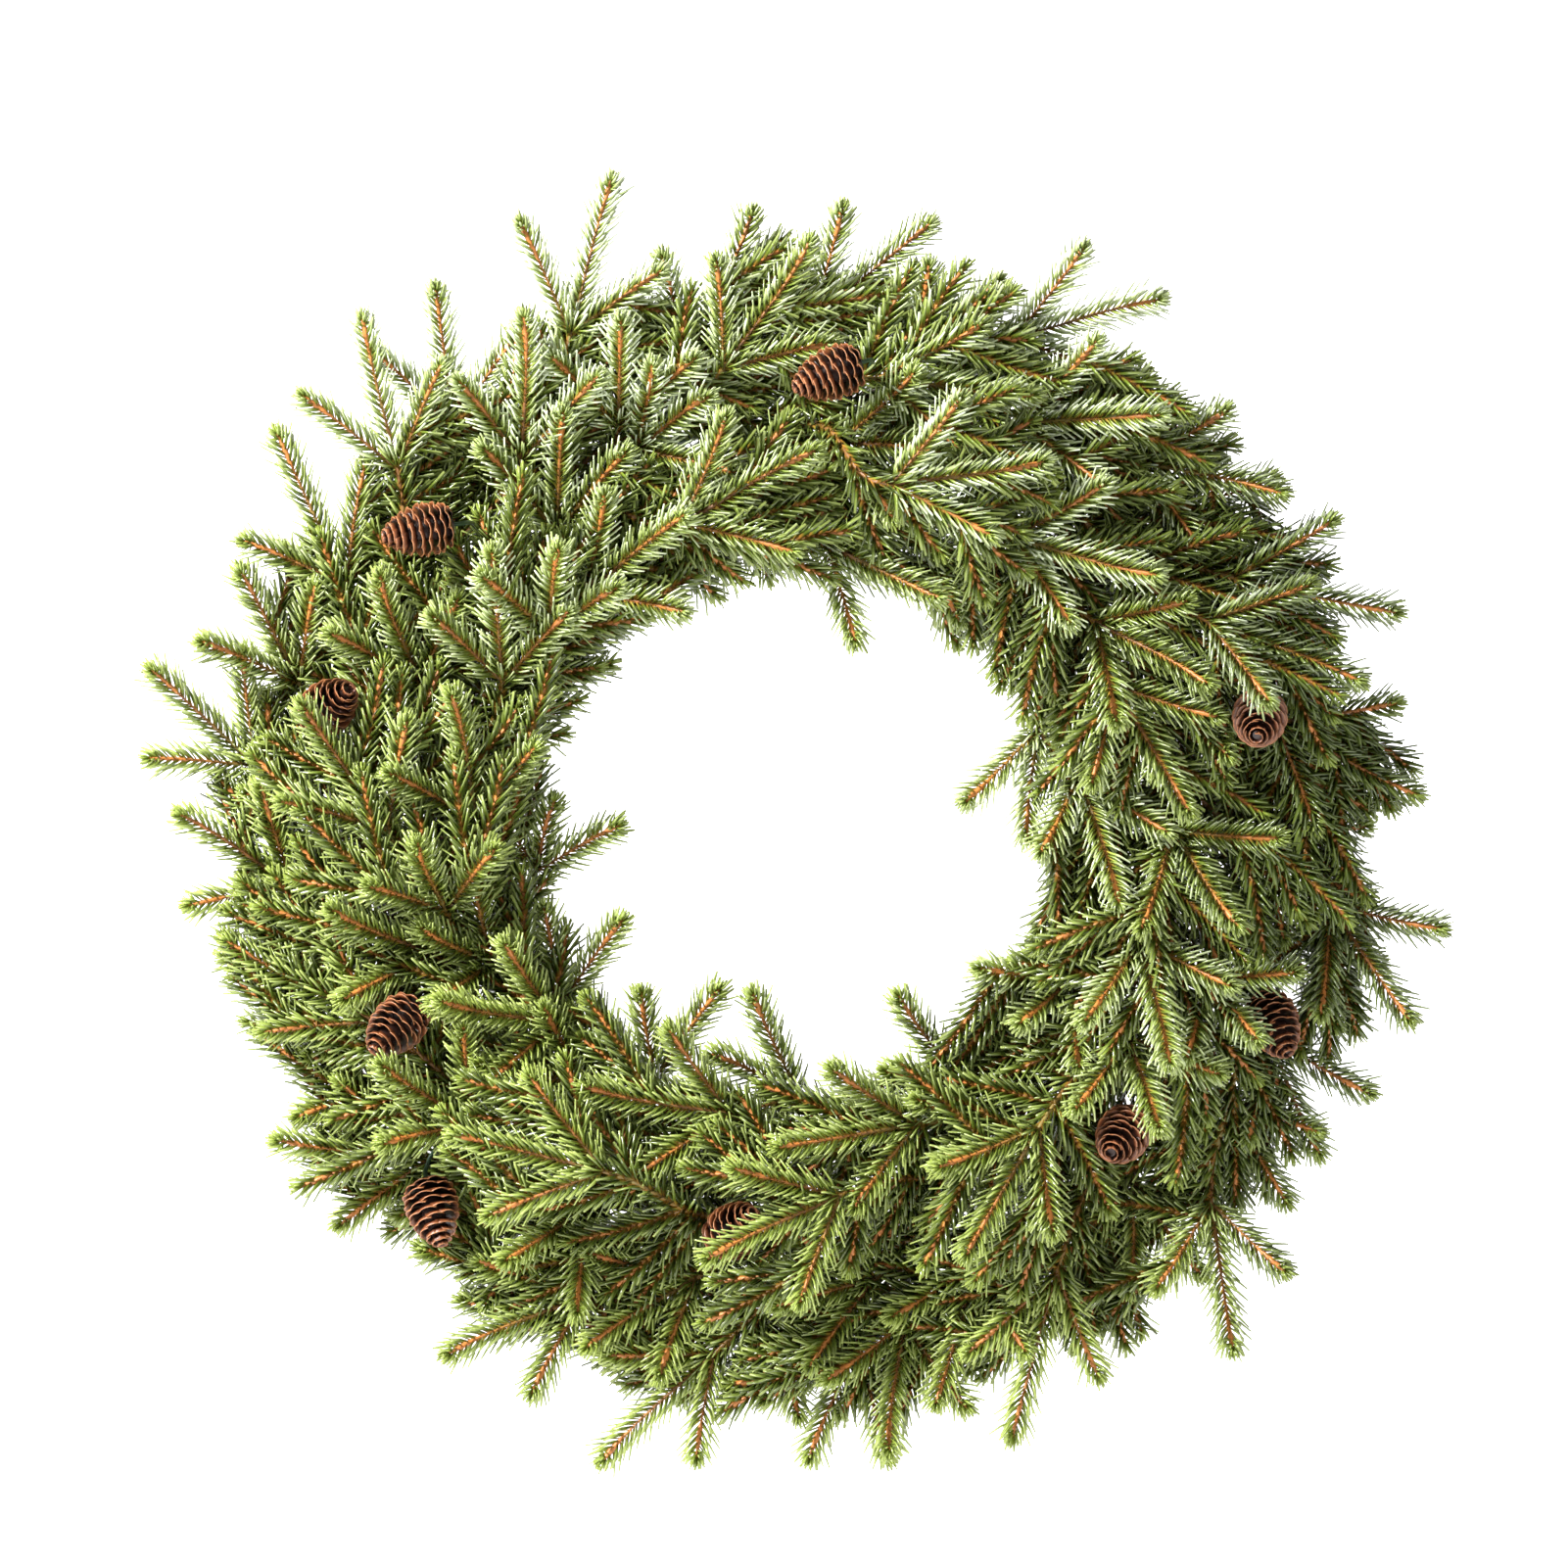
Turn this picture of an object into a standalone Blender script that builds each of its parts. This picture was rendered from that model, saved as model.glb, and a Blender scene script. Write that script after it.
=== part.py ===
# A door wreath: forked spruce branches and small cones tied to a round wire frame.
# It hangs upright. +X is to the right and -Y to the front, seen from the front; the door is behind it, at +Y.
# The origin is on the underside of the frame's wire at the top, where a door hook carries the wreath.

import math
import random

import bmesh
import bpy
import numpy as np
from mathutils import Matrix, Vector

MM = 0.001

# Frame ring
RING_RADIUS = 188 * MM           # to the middle of the wire
WIRE_RADIUS = 2.4 * MM           # to the wire's corners, with one flat to the front and one to the door
RING_STEPS = 32
WIRE_SIDES = 6

# Where a branch meets the frame
FOOT_GAP = 0.3 * MM
FOOT_LENGTH = 8 * MM
CONE_FOOT = 0.62                 # of the way from one branch's foot to the next
FOOT_RADIUS = 1.2 * MM
FOOT_BEHIND = 27                 # degrees that a foot lies behind its fork, the branches sweep clockwise
RISE_ANGLE = math.radians(30)    # the way a stem leaves the frame
SECOND_LEAVES = 27 * MM          # along a branch's first stem, where its second one leaves
SECOND_ANGLE = math.radians(38)

# Stems and tips
STEM_RADIUS = 1.8 * MM
FORK_RADIUS = 1.6 * MM
ROOT_RADIUS = 0.6 * MM           # where a side tip starts inside the fork
SECOND_RADIUS = 0.75 * MM
END_RADIUS = 0.5 * MM
MAIN_LENGTH = 72 * MM            # from the fork to the end of the main tip
SIDE_LENGTH = 53 * MM
SIDE_ANGLE = math.radians(39)
MOST_RISE = 42 * MM              # the most that a main tip reaches forward of its fork
LEAST_LIFT = 13 * MM             # of a tip's end from the frame

# Needles
NEEDLE_LENGTH = 11.5 * MM
NEEDLE_ROOT = 1.8 * MM           # along the twig
NEEDLE_LEANS = (45, 34, 22)      # degrees from the twig, the first that is clear of the neighbours
NEEDLE_SWING = 28                # degrees round the twig, turned the other way from whorl to whorl
MAIN_WHORLS = (5 * MM, 27 * MM, 50 * MM)    # from the tip's end
SIDE_WHORLS = (5 * MM, 27 * MM)
STEM_STEP = 48 * MM

# Cones
CONE_LENGTH = 37 * MM
CONE_RADIUS = 13 * MM
CONE_SIDES = 8
CONE_ROWS = 7
CONE_WIRE = 1.3 * MM

# Joining
MOST_GROWTH = 1.75

# Room kept between one branch and another
CORE_ROOM = 1.6 * MM
NEEDLE_ROOM = 0.5 * MM
SAMPLE = 2.2 * MM

CENTRE = Vector((0, 0, -(RING_RADIUS - WIRE_RADIUS)))
FRONT = Vector((0, -1, 0))
WIRE_FLAT = WIRE_RADIUS * math.cos(math.pi / WIRE_SIDES)

# Every forked end, in mm from the wreath's centre as seen from the front: the fork's x and z, its main tip's
# x and z, and how far the tip stands in front of the frame. One line is one branch.
BRANCHES = [
    [(-234, -31, -285, 3, 36), (-208, -10, -256, 13, 20)],
    [(-252, 26, -299, 71, 30), (-187, -4, -226, 54, 66)],
    [(-146, 0, -156, 59, 74), (-119, -24, -110, 9, 32)],
    [(-231, 65, -256, 117, 42), (-173, 65, -190, 114, 58)],
    [(-208, 111, -240, 182, 32)],
    [(-134, 65, -137, 125, 76), (-112, 88, -106, 126, 84)],
    [(-183, 165, -199, 235, 45), (-158, 187, -166, 250, 24)],
    [(-125, 169, -123, 235, 60), (-109, 136, -105, 191, 44)],
    [(-102, 228, -83, 300, 36), (-80, 185, -78, 233, 56)],
    [(-95, 107, -48, 142, 66), (-71, 175, -37, 198, 48)],
    [(-49, 139, 13, 172, 78)],
    [(-30, 212, 10, 270, 52), (-48, 214, -17, 286, 24)],
    [(11, 237, 67, 281, 38), (25, 178, 71, 171, 68)],
    [(18, 130, 70, 104, 58), (57, 134, 94, 120, 34)],
    [(44, 207, 115, 198, 62), (57, 214, 99, 254, 22)],
    [(48, 156, 119, 166, 80)],
    [(107, 228, 175, 245, 42), (108, 187, 173, 189, 60)],
    [(105, 132, 171, 114, 72)],
    [(165, 169, 231, 153, 44), (181, 146, 229, 130, 22)],
    [(195, 93, 266, 65, 60), (209, 114, 285, 98, 34)],
    [(144, 93, 194, 63, 82), (172, 68, 205, 30, 54)],
    [(153, 63, 186, 4, 68)],
    [(118, 43, 112, -8, 32), (137, 22, 154, -38, 56)],
    [(229, 46, 295, 12, 34), (181, -5, 208, -48, 76)],
    [(222, -5, 273, -38, 22), (256, -40, 291, -93, 40)],
    [(197, -74, 218, -102, 64), (231, -49, 259, -97, 20)],
    [(165, -56, 176, -112, 82), (135, -74, 108, -95, 44)],
    [(228, -103, 250, -157, 40), (204, -129, 235, -180, 20)],
    [(160, -102, 172, -143, 68), (163, -170, 160, -221, 30)],
    [(199, -180, 207, -246, 34)],
    [(126, -212, 105, -289, 38), (89, -209, 69, -272, 48)],
    [(117, -143, 82, -201, 78), (103, -143, 69, -161, 58)],
    [(60, -142, -5, -151, 74), (82, -125, 46, -118, 28)],
    [(55, -237, 47, -294, 50), (34, -248, 10, -300, 26)],
    [(41, -216, -6, -227, 52), (-2, -234, -24, -267, 20)],
    [(24, -174, -38, -202, 80), (5, -130, -36, -110, 30)],
    [(-35, -251, -87, -300, 34), (-44, -216, -94, -246, 46)],
    [(-27, -137, -95, -123, 72), (-63, -122, -69, -81, 30)],
    [(-96, -224, -159, -249, 40), (-94, -182, -132, -205, 58)],
    [(-85, -162, -155, -145, 78), (-94, -125, -144, -113, 62)],
    [(-112, -186, -171, -203, 26)],
    [(-170, -160, -240, -150, 42), (-148, -142, -188, -113, 54)],
    [(-108, -95, -161, -83, 74), (-107, -86, -115, -41, 34)],
    [(-185, -125, -227, -110, 24)],
    [(-194, -94, -263, -56, 38), (-167, -63, -212, -41, 70)],
    [(-140, -67, -171, -49, 62), (-160, -42, -171, -10, 86)],
]

# Each cone: the middle's x and z and its distance from the frame in mm, and the way its nose points.
CONES = [
    ((19, 207, 70), (-0.90, -0.25, -0.36)),
    ((-171, 135, 66), (-0.95, -0.28, -0.18)),
    ((-214, 54, 46), (0.55, -0.72, 0.42)),
    ((219, 47, 62), (-0.12, -0.88, -0.45)),
    ((-183, -96, 58), (-0.55, -0.62, -0.56)),
    ((-166, -182, 48), (0.25, -0.42, -0.87)),
    ((-25, -190, 58), (0.45, -0.75, 0.48)),
    ((156, -148, 40), (-0.35, -0.85, -0.40)),
    ((228, -96, 34), (0.30, -0.60, -0.74)),
]


def material(name, colour, roughness, metallic=0.0):
    mat = bpy.data.materials.new(name)
    mat.use_nodes = True
    shader = mat.node_tree.nodes["Principled BSDF"]
    shader.inputs["Base Color"].default_value = (*colour, 1)
    shader.inputs["Roughness"].default_value = roughness
    shader.inputs["Metallic"].default_value = metallic
    mat.diffuse_color = (*colour, 1)
    return mat


def finished(obj, mat, collection):
    obj.data.materials.clear()
    obj.data.materials.append(mat)
    collection.objects.link(obj)
    return obj


# A point given as on the list above: from the wreath's centre, with its distance in front of the frame.
def place(x, z, lift):
    return CENTRE + Vector((x, -lift, z)) * MM


# Clock angle of a point, 0 at the top and growing clockwise.
def clock(point):
    return math.degrees(math.atan2(point.x - CENTRE.x, point.z - CENTRE.z)) % 360


def outward(angle):
    return Vector((math.sin(math.radians(angle)), 0, math.cos(math.radians(angle))))


def clockwise(angle):
    return Vector((math.cos(math.radians(angle)), 0, -math.sin(math.radians(angle))))


# A smooth curve from the first of some guide points to the last, drawn towards those between.
def bezier(guides, steps):
    points = []
    for i in range(steps + 1):
        line = list(guides)
        while len(line) > 1:
            line = [a.lerp(b, i / steps) for a, b in zip(line, line[1:])]
        points.append(line[0])
    return points


def lengths(path):
    total = [0.0]
    for a, b in zip(path, path[1:]):
        total.append(total[-1] + (b - a).length)
    return total


# The point at a distance along a path.
def along(path, total, distance):
    distance = min(max(distance, 0), total[-1])
    for i in range(1, len(path)):
        if distance <= total[i] or i == len(path) - 1:
            part = (distance - total[i - 1]) / max(total[i] - total[i - 1], 1e-9)
            return path[i - 1].lerp(path[i], part)


# Distances along a twig where its mesh has a ring, with a close pair of rings at each whorl. A twig with
# needles ends at its last whorl, from where its tip is drawn out as the end needle.
def twig_stations(length, whorls, joints):
    whorls = sorted(length - d for d in whorls)
    whorls = [s for s in whorls if all(abs(s - joint) > 4 * MM for joint in joints)]
    last = [] if whorls else [length]
    marks = sorted([0.0] + [s for s in joints if s < length - 8 * MM] + whorls + last)
    stations = []
    bands = []
    for mark, after in zip(marks, marks[1:] + [None]):
        if mark in whorls:
            bands.append(len(stations))
            stations.append(mark)
            mark += NEEDLE_ROOT
        stations.append(mark)
        between = int((after - mark) / STEM_STEP) if after else 0
        stations += [mark + (after - mark) * i / (between + 1) for i in range(1, between + 1)]
    return stations, bands


# A twig is its path, its radius at some distances along it, where its whorls of needles sit, counted from the
# tip's end, and where other twigs leave it, counted from its start.
class Twig:
    def __init__(self, path, radii, whorls=(), joints=()):
        self.path = path
        self.total = lengths(path)
        self.length = self.total[-1]
        self.radii = radii
        self.stations, self.bands = twig_stations(self.length, whorls, joints)

    def point(self, distance):
        return along(self.path, self.total, distance)

    def radius(self, distance):
        return float(np.interp(distance, [d for d, _ in self.radii], [r for _, r in self.radii]))

    # Balls of the twig's own radius along the straight stretches of its mesh, which stand for it when room
    # is measured.
    def balls(self, skip=0.0):
        marks = self.stations + [self.length]
        corners = [self.point(s) for s in marks]
        steps = max(1, int((self.length - skip) / SAMPLE))
        found = []
        for i in range(steps + 1):
            s = skip + (self.length - skip) * i / steps
            after = next((k for k, mark in enumerate(marks) if mark > s), len(marks) - 1)
            part = (s - marks[after - 1]) / max(marks[after] - marks[after - 1], 1e-9)
            found.append((*corners[after - 1].lerp(corners[after], part), self.radius(s)))
        return found


# The smallest room between two sets of balls.
def room(a, b):
    if len(a) == 0 or len(b) == 0:
        return math.inf
    squared = (a[:, None, :3] - b[None, :, :3]) ** 2
    apart = np.sqrt(squared.sum(axis=2)) - a[:, None, 3] - b[None, :, 3]
    return float(apart.min())


def nearby(balls, middle, reach):
    return balls[np.linalg.norm(balls[:, :3] - np.array(middle), axis=1) < reach]


# The first of some shapes that is clear of the balls around it, or else the clearest.
def clearest(shapes, around, skip=0.0):
    best = None
    for twig in shapes:
        clear = room(np.array(twig.balls(skip)), around)
        if best is None or clear > best[0]:
            best = (clear, twig)
        if clear >= CORE_ROOM:
            break
    return best


# Feet stand evenly round the ring, each some way behind its branch's first fork.
def foot_angles():
    forks = [clock(place(*branch[0][:2], 0)) for branch in BRANCHES]
    order = sorted(range(len(BRANCHES)), key=lambda i: forks[i])
    pitch = 360 / len(BRANCHES)
    start = sum(forks[i] - pitch * k for k, i in enumerate(order)) / len(order) - FOOT_BEHIND
    return {i: (start + pitch * k) % 360 for k, i in enumerate(order)}, pitch


# The two ends of the stretch where a stem or a wire lies along the front of the frame.
def foot(angle, length=FOOT_LENGTH):
    middle = CENTRE + outward(angle) * RING_RADIUS + FRONT * (WIRE_FLAT + FOOT_GAP + FOOT_RADIUS)
    half = clockwise(angle) * length / 2
    return [middle - half, middle + half]


def ring_balls():
    count = int(2 * math.pi * RING_RADIUS / SAMPLE)
    return [(*(CENTRE + outward(360 * i / count) * RING_RADIUS), WIRE_RADIUS) for i in range(count)]


def foot_balls(angle, length=FOOT_LENGTH):
    start, end = foot(angle, length)
    return [(*start.lerp(end, s), FOOT_RADIUS) for s in (0, 0.25, 0.5, 0.75, 1)]


# A cone's wire leaves the frame sideways, between the branches' feet, and runs into the cone's base.
def cone_wires(middle, nose, angle):
    base = middle - nose * CONE_LENGTH * 0.46
    foot_start, start = foot(angle, FOOT_LENGTH / 2)
    reach = (base - start).length
    for side in (1, -1, 0.3, -0.3):
        for lean in (0.5, 1.2, 0.1):
            way = (outward(angle) * side + FRONT * lean).normalized()
            guides = [start, start + way * reach * 0.35, base - nose * reach * 0.3, base + nose * 3 * MM]
            path = bezier(guides, 10)
            yield Twig([foot_start] + path, [(0, CONE_WIRE)], joints=[FOOT_LENGTH / 2])


def cone_balls(middle, nose):
    return [(*(middle + nose * CONE_LENGTH * s), CONE_RADIUS * r)
            for s, r in ((-0.38, 0.85), (-0.2, 1.05), (0, 1.05), (0.18, 0.9), (0.32, 0.75), (0.46, 0.45))]


def cone_layout(feet, pitch):
    cones = []
    slots = [(angle + pitch * CONE_FOOT) % 360 for angle in feet.values()]
    for (x, z, lift), nose in CONES:
        middle = place(x, z, lift)
        nose = Vector(nose).normalized()
        base = clock(middle - nose * CONE_LENGTH * 0.5)
        slot = min(slots, key=lambda s: abs((s - base + 180) % 360 - 180))
        slots.remove(slot)
        cones.append({"middle": middle, "nose": nose, "foot": slot})
    feet_all = [ball for angle in feet.values() for ball in foot_balls(angle)]
    for cone in cones:
        others = [ball for c in cones if c is not cone for ball in cone_balls(c["middle"], c["nose"])]
        wires = cone_wires(cone["middle"], cone["nose"], cone["foot"])
        cone["wire"] = clearest(wires, np.array(feet_all + others), FOOT_LENGTH * 0.5)[1]
        body = cone_balls(cone["middle"], cone["nose"])
        cone["balls"] = np.array(foot_balls(cone["foot"], FOOT_LENGTH / 2) + body + cone["wire"].balls())
    return cones


# The main tips that could stand over a fork and its end as seen from the front, at a few distances from the
# frame.
def main_tips(fork, tip, bow):
    for shift in (0, 4, -4, 8, -8, 12, -12, 16, -16, 20):
        high = Vector((tip.x, min(tip.y - shift * MM, -LEAST_LIFT), tip.z))
        seen = Vector((tip.x - fork.x, 0, tip.z - fork.z)).length
        rise = min(math.sqrt(max(MAIN_LENGTH ** 2 - seen ** 2, 0)), MOST_RISE, -high.y * 0.6)
        low = Vector((fork.x, min(high.y + rise, -LEAST_LIFT / 2), fork.z))
        way = (high - low).normalized()
        across = way.cross(FRONT).normalized()
        yield Twig(bezier([low, low.lerp(high, 0.33), low.lerp(high, 0.66) + across * bow, high], 6),
                   [(0, FORK_RADIUS), (MAIN_LENGTH, END_RADIUS)], MAIN_WHORLS)


# The side tips that could leave a fork: how far each is turned from the plane of its fan, and how much wider
# it spreads, in degrees.
SIDE_TRIES = ((8, 0), (20, 0), (-6, 0), (32, 0), (8, 10), (-18, 0), (20, 12), (45, 0), (8, -12), (-6, 16))


def side_tips(fork, way, side, spread, length):
    across = way.cross(FRONT).normalized() * side
    up = across.cross(way).normalized()
    if up.dot(FRONT) < 0:
        up = -up
    for turn, wide in SIDE_TRIES:
        roll = math.radians(turn)
        sideways = across * math.cos(roll) + up * math.sin(roll)
        angle = spread + math.radians(wide)
        end = fork + (way * math.cos(angle) + sideways * math.sin(angle)) * length
        end.y = min(end.y, -LEAST_LIFT)
        yield Twig(bezier([fork, fork.lerp(end, 0.33), fork.lerp(end, 0.66) - sideways * 2 * MM, end], 5),
                   [(0, ROOT_RADIUS), (length, END_RADIUS)], SIDE_WHORLS)


# Where a stem's mesh needs rings: a branch's first stem has one where it leaves the frame and one where the
# second stem leaves it.
def stem_joints(lead):
    return [FOOT_LENGTH, SECOND_LEAVES] if len(lead) > 1 else []


# A first stem keeps clear of the frame along its foot; a second one starts inside the first.
def stem_radii(lead):
    start = [(0, FOOT_RADIUS), (FOOT_LENGTH + 1 * MM, FOOT_RADIUS)] if len(lead) > 1 else [(0, SECOND_RADIUS)]
    return start + [(SECOND_LEAVES, STEM_RADIUS)]


# The stems that could run from the foot to the fork.
def stems(lead, start_way, fork, way):
    start = lead[-1]
    reach = (fork - start).length
    across = start_way.cross(FRONT).normalized()
    for front, side in sorted(((f, s) for f in range(-24, 33, 8) for s in range(-24, 25, 8)),
                              key=lambda pair: abs(pair[0]) + abs(pair[1])):
        first, last = start + start_way * reach * 0.3, fork - way * reach * 0.3
        middle = first.lerp(last, 0.5) + (FRONT * front + across * side) * 2 * MM
        path = bezier([start, first, middle, last, fork], 10)
        if max(point.y for point in path) < -3 * MM:
            yield Twig(lead[:-1] + path, stem_radii(lead), joints=stem_joints(lead))


# The twigs of one forked end and its stem: the first main tip tried that leaves enough room to what is around
# them, or else the one that leaves the most.
def forked_end(seen, lead, start_way, around, rng):
    seen_fork, seen_tip = place(*seen[:2], seen[4]), place(*seen[2:4], seen[4])
    bow = rng.uniform(-4, 4) * MM
    spreads = [SIDE_ANGLE + rng.uniform(-0.09, 0.09) for _ in range(2)]
    side_lengths = [SIDE_LENGTH * rng.uniform(0.92, 1.08) for _ in range(2)]
    best = None
    for main in main_tips(seen_fork, seen_tip, bow):
        tight = room(np.array(main.balls()), around)
        if best is not None and tight < min(best[0], CORE_ROOM):
            continue
        fork = main.path[0]
        way = (main.path[-1] - fork).normalized()
        skip = FOOT_LENGTH * 2 if len(lead) > 1 else 0
        clear, stem = clearest(stems(lead, start_way, fork, way), around, skip)
        tight = min(tight, clear)
        joints = [stem.length] + stem_joints(lead)
        radii = stem_radii(lead) + [(stem.length, FORK_RADIUS), (stem.length + main.length, END_RADIUS)]
        twigs = [Twig(stem.path + main.path[1:], radii, MAIN_WHORLS, joints)]
        for side, spread, length in zip((-1, 1), spreads, side_lengths):
            clear, twig = clearest(side_tips(fork, way, side, spread, length), around)
            tight = min(tight, clear)
            twigs.append(twig)
        if best is None or tight > best[0]:
            best = (tight, twigs)
        if tight >= CORE_ROOM:
            break
    return best[1]


# The way the first stem leaves the frame, towards its fork.
def first_way(angle, seen):
    out = max(-0.7, min(0.7, (math.hypot(*seen[:2]) * MM - RING_RADIUS) / (50 * MM)))
    return (clockwise(angle) + outward(angle) * out + FRONT * math.tan(RISE_ANGLE)).normalized()


# The way the second stem leaves the first one, at an angle to it and towards its own fork.
def second_way(stem, seen):
    start = stem.point(SECOND_LEAVES)
    along_first = (stem.point(SECOND_LEAVES + 2 * MM) - start).normalized()
    axis = along_first.cross(place(*seen[:2], seen[4] * 0.7) - start).normalized()
    return Matrix.Rotation(SECOND_ANGLE, 3, axis) @ along_first


# A branch: its foot on the frame, and its forked ends, the second leaving the first one's stem.
def branch(index, angle, others):
    twigs = []
    for number, seen in enumerate(BRANCHES[index]):
        rng = random.Random(index * 10 + number)
        own = [ball for twig in twigs for ball in twig.balls(SECOND_LEAVES * 1.6 if twig is twigs[0] else 0)]
        around = nearby(others, place(*seen[:2], seen[4]), 150 * MM)
        around = np.concatenate([around, np.array(own).reshape(-1, 4)])
        lead = [twigs[0].point(SECOND_LEAVES)] if number else foot(angle)
        start_way = second_way(twigs[0], seen) if number else first_way(angle, seen)
        twigs += forked_end(seen, lead, start_way, around, rng)
    balls = np.array(foot_balls(angle) + [ball for twig in twigs for ball in twig.balls()])
    return {"twigs": twigs, "balls": balls}


# Each branch takes a shape near the one read from the photograph that is clear of the others.
def branch_layout():
    feet, pitch = foot_angles()
    cones = cone_layout(feet, pitch)
    placed = {("cone", i): cone["balls"] for i, cone in enumerate(cones)}
    placed["ring"] = np.array(ring_balls())
    for i, angle in feet.items():
        placed[("branch", i)] = np.array(foot_balls(angle))
    branches = []
    for index in range(len(BRANCHES)):
        others = np.concatenate([balls for key, balls in placed.items() if key != ("branch", index)])
        branches.append(branch(index, feet[index], others))
        placed[("branch", index)] = branches[-1]["balls"]
    return branches, cones


# A three-sided profile, which every twig's curve carries along its path.
def triangle_profile():
    curve = bpy.data.curves.new("twig profile", "CURVE")
    curve.dimensions = "2D"
    spline = curve.splines.new("POLY")
    spline.points.add(2)
    for i, point in enumerate(spline.points):
        turn = math.radians(90 + 120 * i)
        point.co = (MM * math.cos(turn), MM * math.sin(turn), 0, 1)
    spline.use_cyclic_u = True
    return bpy.data.objects.new("twig profile", curve)


def twig_curve(twig, profile):
    curve = bpy.data.curves.new("twig", "CURVE")
    curve.dimensions = "3D"
    curve.bevel_mode = "OBJECT"
    curve.bevel_object = profile
    curve.use_fill_caps = True
    spline = curve.splines.new("POLY")
    spline.points.add(len(twig.stations) - 1)
    for point, s in zip(spline.points, twig.stations):
        point.co = (*twig.point(s), 1)
        point.radius = twig.radius(s) / MM
    return bpy.data.objects.new("twig", curve)


# Meshes of a list of curve objects, which are removed.
def meshes_of(curves):
    scratch = bpy.data.collections.new("scratch")
    bpy.context.scene.collection.children.link(scratch)
    for obj in curves:
        scratch.objects.link(obj)
    bpy.context.view_layer.update()
    graph = bpy.context.evaluated_depsgraph_get()
    meshes = [bpy.data.meshes.new_from_object(obj.evaluated_get(graph)) for obj in curves]
    for obj in curves:
        bpy.data.objects.remove(obj)
    bpy.data.collections.remove(scratch)
    return meshes


# The ends that a whorl's three needles could have, one list for each side of the twig.
def needle_ends(root, normal, way, swing):
    normal = (normal - way * normal.dot(way)).normalized()
    choices = []
    for lean in NEEDLE_LEANS:
        for turn in (swing, -swing, 0):
            side = Matrix.Rotation(math.radians(turn), 3, way) @ normal
            lean_angle = math.radians(lean)
            choices.append(root + (way * math.cos(lean_angle) + side * math.sin(lean_angle)) * NEEDLE_LENGTH)
    return choices


def needle_balls(root, end):
    return [(*root.lerp(end, s), 1.1 * MM * (1 - 0.75 * s)) for s in (0.12, 0.28, 0.44, 0.6, 0.76, 0.9, 1.0)]


# The three corners of a twig's mesh round a point on its path.
def ring_at(bm, point):
    return set(sorted(bm.verts, key=lambda v: (v.co - point).length)[:3])


# Pulls a needle out of each side of a twig at its whorls, where there is room for it.
def raise_needles(mesh, twig, around):
    added = []
    bm = bmesh.new()
    bm.from_mesh(mesh)
    bmesh.ops.remove_doubles(bm, verts=bm.verts, dist=0.01 * MM)
    for number, band in enumerate(twig.bands):
        low, high = (ring_at(bm, twig.point(s)) for s in twig.stations[band:band + 2])
        sides = [f for f in bm.faces if len(low & set(f.verts)) == 2 and len(high & set(f.verts)) == 2]
        middle_low = sum((v.co for v in low), Vector()) / 3
        middle_high = sum((v.co for v in high), Vector()) / 3
        way = (middle_high - middle_low).normalized()
        near = nearby(around, middle_low, 22 * MM)
        swing = NEEDLE_SWING if number % 2 else -NEEDLE_SWING
        for face in sides:
            root = face.calc_center_median()
            for end in needle_ends(root, root - (middle_low + middle_high) / 2, way, swing):
                balls = np.array(needle_balls(root, end))
                if end.y < -3 * MM and room(balls, near) > NEEDLE_ROOM:
                    poked = bmesh.ops.poke(bm, faces=[face])
                    poked["verts"][0].co = end
                    added.append(balls)
                    break
    if twig.bands:
        last = twig.point(twig.stations[-1])
        cap = min(bm.faces, key=lambda face: (face.calc_center_median() - last).length)
        bmesh.ops.poke(bm, faces=[cap])["verts"][0].co = twig.path[-1]
    bmesh.ops.triangulate(bm, faces=bm.faces)
    bmesh.ops.recalc_face_normals(bm, faces=bm.faces)
    bm.to_mesh(mesh)
    bm.free()
    return added


# Drops the loose scraps and the sealed hollows that joining leaves, so that one outer skin stays.
def keep_largest(mesh):
    bm = bmesh.new()
    bm.from_mesh(mesh)
    left = set(bm.verts)
    skins = []
    while left:
        skin = set()
        edge = [left.pop()]
        while edge:
            vert = edge.pop()
            skin.add(vert)
            for link in vert.link_edges:
                other = link.other_vert(vert)
                if other in left:
                    left.discard(other)
                    edge.append(other)
        skins.append(skin)
    skins.sort(key=len, reverse=True)
    scraps = [vert for skin in skins[1:] for vert in skin]
    bmesh.ops.delete(bm, geom=scraps, context="VERTS")
    bm.to_mesh(mesh)
    bm.free()


# One closed body from meshes that run into each other.
def union_of(name, meshes, solver):
    first = bpy.data.objects.new(name, meshes[0])
    bpy.context.scene.collection.objects.link(first)
    pieces = bpy.data.collections.new("pieces")
    bpy.context.scene.collection.children.link(pieces)
    for mesh in meshes[1:]:
        pieces.objects.link(bpy.data.objects.new("piece", mesh))
    union = first.modifiers.new("union", "BOOLEAN")
    union.operation = "UNION"
    union.operand_type = "COLLECTION"
    union.solver = solver
    union.collection = pieces
    bpy.context.view_layer.update()
    graph = bpy.context.evaluated_depsgraph_get()
    whole = bpy.data.meshes.new_from_object(first.evaluated_get(graph))
    for obj in list(pieces.objects) + [first]:
        bpy.data.objects.remove(obj)
    bpy.data.collections.remove(pieces)
    whole.name = name
    keep_largest(whole)
    return whole


def triangle_count(mesh):
    return len(mesh.loops) - 2 * len(mesh.polygons)


# The exact union leaves inner skins where a thin twig grazes itself, which shows as far too many faces.
def joined(name, meshes):
    whole = union_of(name, [mesh.copy() for mesh in meshes], "EXACT")
    if triangle_count(whole) > MOST_GROWTH * sum(triangle_count(mesh) for mesh in meshes):
        whole = union_of(name, meshes, "MANIFOLD")
    return bpy.data.objects.new(name, whole)


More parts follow.
